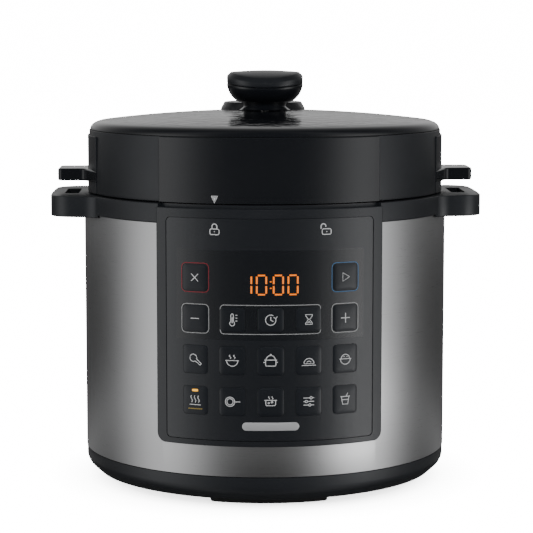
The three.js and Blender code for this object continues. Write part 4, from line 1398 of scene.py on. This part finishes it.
# ---- Stage -------------------------------------------------------------------------------
class COOKER_OT_stage(bpy.types.Operator):
    """Pale glowing floor with a painted contact shadow, soft lights, world and camera"""
    bl_idname = "cooker.stage"
    bl_label = "Stage"
    bl_options = {"REGISTER", "UNDO"}

    def softbox(self, name, place, aim, width, height, power):
        light = added(name, bpy.ops.object.light_add, type="AREA", location=place)
        light.data.shape = "RECTANGLE"
        light.data.size, light.data.size_y = width, height
        light.data.energy = power
        light.rotation_euler = (Vector(aim) - Vector(place)).to_track_quat("-Z", "Y").to_euler()
        light.visible_glossy = False

    def world(self):
        """White backdrop; the object sees two soft walls at its sides and a glow behind."""
        world = bpy.data.worlds.new("studio")
        bpy.context.scene.world = world
        graph = Graph(world)
        axes = graph.add("SeparateXYZ", {0: graph.add("TexCoord").outputs["Generated"]}).outputs
        turn = graph.math("ARCTAN2", axes["X"], graph.math("MULTIPLY", axes["Y"], -1.0))

        def lobe(value, centre, width, peak=1.0):
            offset = graph.math("DIVIDE", graph.math("SUBTRACT", value, centre), width)
            bell = graph.math("EXPONENT", graph.math("MULTIPLY", graph.math("POWER", offset, 2.0), -1.0))
            return graph.math("MULTIPLY", bell, peak)

        def both(a, b, operation="MULTIPLY"):
            return graph.math(operation, a, b)

        sides = both(lobe(turn, -1.2, 0.42, 1.6), lobe(turn, 1.1, 0.38, 1.9), "ADD")
        walls = both(sides, lobe(axes["Z"], -0.1, 0.75))
        low = both(both(lobe(turn, 1.02, 0.3, 8.0), 0.4, "ADD"), lobe(axes["Z"], -0.25, 0.03))
        rear = both(lobe(axes["Z"], 0.2, 0.5), graph.spread(axes["Z"], 0.0, 1.0, -0.08, 0.1))
        glow = both(lobe(graph.math("ABSOLUTE", turn), math.pi, 1.05, 0.8), rear)
        total = both(both(walls, low, "ADD"), glow, "ADD")
        unseen = graph.add("Background", {"Strength": graph.math("ADD", total, 0.07)})
        seen = graph.add("Background", {"Color": (1, 1, 1, 1), "Strength": 16.0})
        graph.split(unseen.outputs[0], seen.outputs[0], "World Output")

    def floor(self):
        floor = added("floor", bpy.ops.mesh.primitive_plane_add, size=12, location=(0, 0, 0))
        recipe = Recipe("pale_floor", (0.9, 0.9, 0.9), 0.9)
        recipe.shader.inputs["Emission Color"].default_value = (1, 1, 1, 1)
        # The floor's glow is turned down where ambient occlusion finds the cooker close by: a painted contact
        # shadow round its foot.
        near = recipe.add("AmbientOcclusion", {"Distance": 0.035}, samples=8).outputs["AO"]
        recipe.drive("Emission Strength", recipe.spread(recipe.math("POWER", near, 0.7), 1.5, 16.0))
        dark = recipe.add("BsdfDiffuse", {"Color": (0.55, 0.55, 0.55, 1)})
        recipe.split(dark.outputs[0], recipe.shader.outputs[0], "Material Output")
        floor.data.materials.append(recipe.material)
        floor.visible_glossy = False
        floor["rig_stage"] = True

    def camera(self):
        data = bpy.data.cameras.new("camera")
        data.sensor_width, data.lens = 36, 138
        camera = bpy.data.objects.new("camera", data)
        bpy.context.scene.collection.objects.link(camera)
        camera.location = (-0.0455, -1.5318, 0.3387)
        camera.rotation_euler = (math.radians(83.222), 0, math.radians(-1.75))
        bpy.context.scene.camera = camera

    def execute(self, context):
        self.world()
        self.floor()
        self.camera()
        self.softbox("front_fill", (0, -2.0, 0.9), (0, 0, 0.15), 1.6, 1.2, 24)
        return {"FINISHED"}


# ---- Panel in the sidebar -----------------------------------------------------------------
STEPS = ["stage", "base", "feet", "shell", "collar", "panel_frame", "film", "keys", "panel_marks",
         "display", "badge", "lid_skirt", "lid_cover", "knob", "steam_valve", "lid_inside",
         "cooking_pot", "well", "fittings"]


class COOKER_PT_panel(bpy.types.Panel):
    bl_label = "Pressure cooker"
    bl_idname = "COOKER_PT_panel"
    bl_space_type = "VIEW_3D"
    bl_region_type = "UI"
    bl_category = "Cooker"

    def draw(self, context):
        for settings in (context.scene.cooker_sizes, context.scene.cooker_colours):
            for key in settings.__annotations__:
                self.layout.prop(settings, key)
        for step in STEPS:
            self.layout.operator("cooker." + step)


CLASSES = [CookerSizes, CookerColours, COOKER_OT_stage, COOKER_OT_base, COOKER_OT_feet, COOKER_OT_shell,
           COOKER_OT_collar, COOKER_OT_panel_frame, COOKER_OT_film, COOKER_OT_keys, COOKER_OT_panel_marks,
           COOKER_OT_display, COOKER_OT_badge, COOKER_OT_lid_skirt, COOKER_OT_lid_cover, COOKER_OT_knob,
           COOKER_OT_steam_valve, COOKER_OT_lid_inside, COOKER_OT_cooking_pot, COOKER_OT_well,
           COOKER_OT_fittings, COOKER_PT_panel]


def register():
    for cls in CLASSES:
        bpy.utils.register_class(cls)
    bpy.types.Scene.cooker_sizes = PointerProperty(type=CookerSizes)
    bpy.types.Scene.cooker_colours = PointerProperty(type=CookerColours)


def unregister():
    del bpy.types.Scene.cooker_sizes
    del bpy.types.Scene.cooker_colours
    for cls in reversed(CLASSES):
        bpy.utils.unregister_class(cls)


def main():
    register()
    for step in STEPS:
        getattr(bpy.ops.cooker, step)()
    boxes = {"cad": CAD_BOX, "visual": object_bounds()}
    {key: [list(corner) for corner in box] for key, box in boxes.items()}


if __name__ == "__main__":
    main()
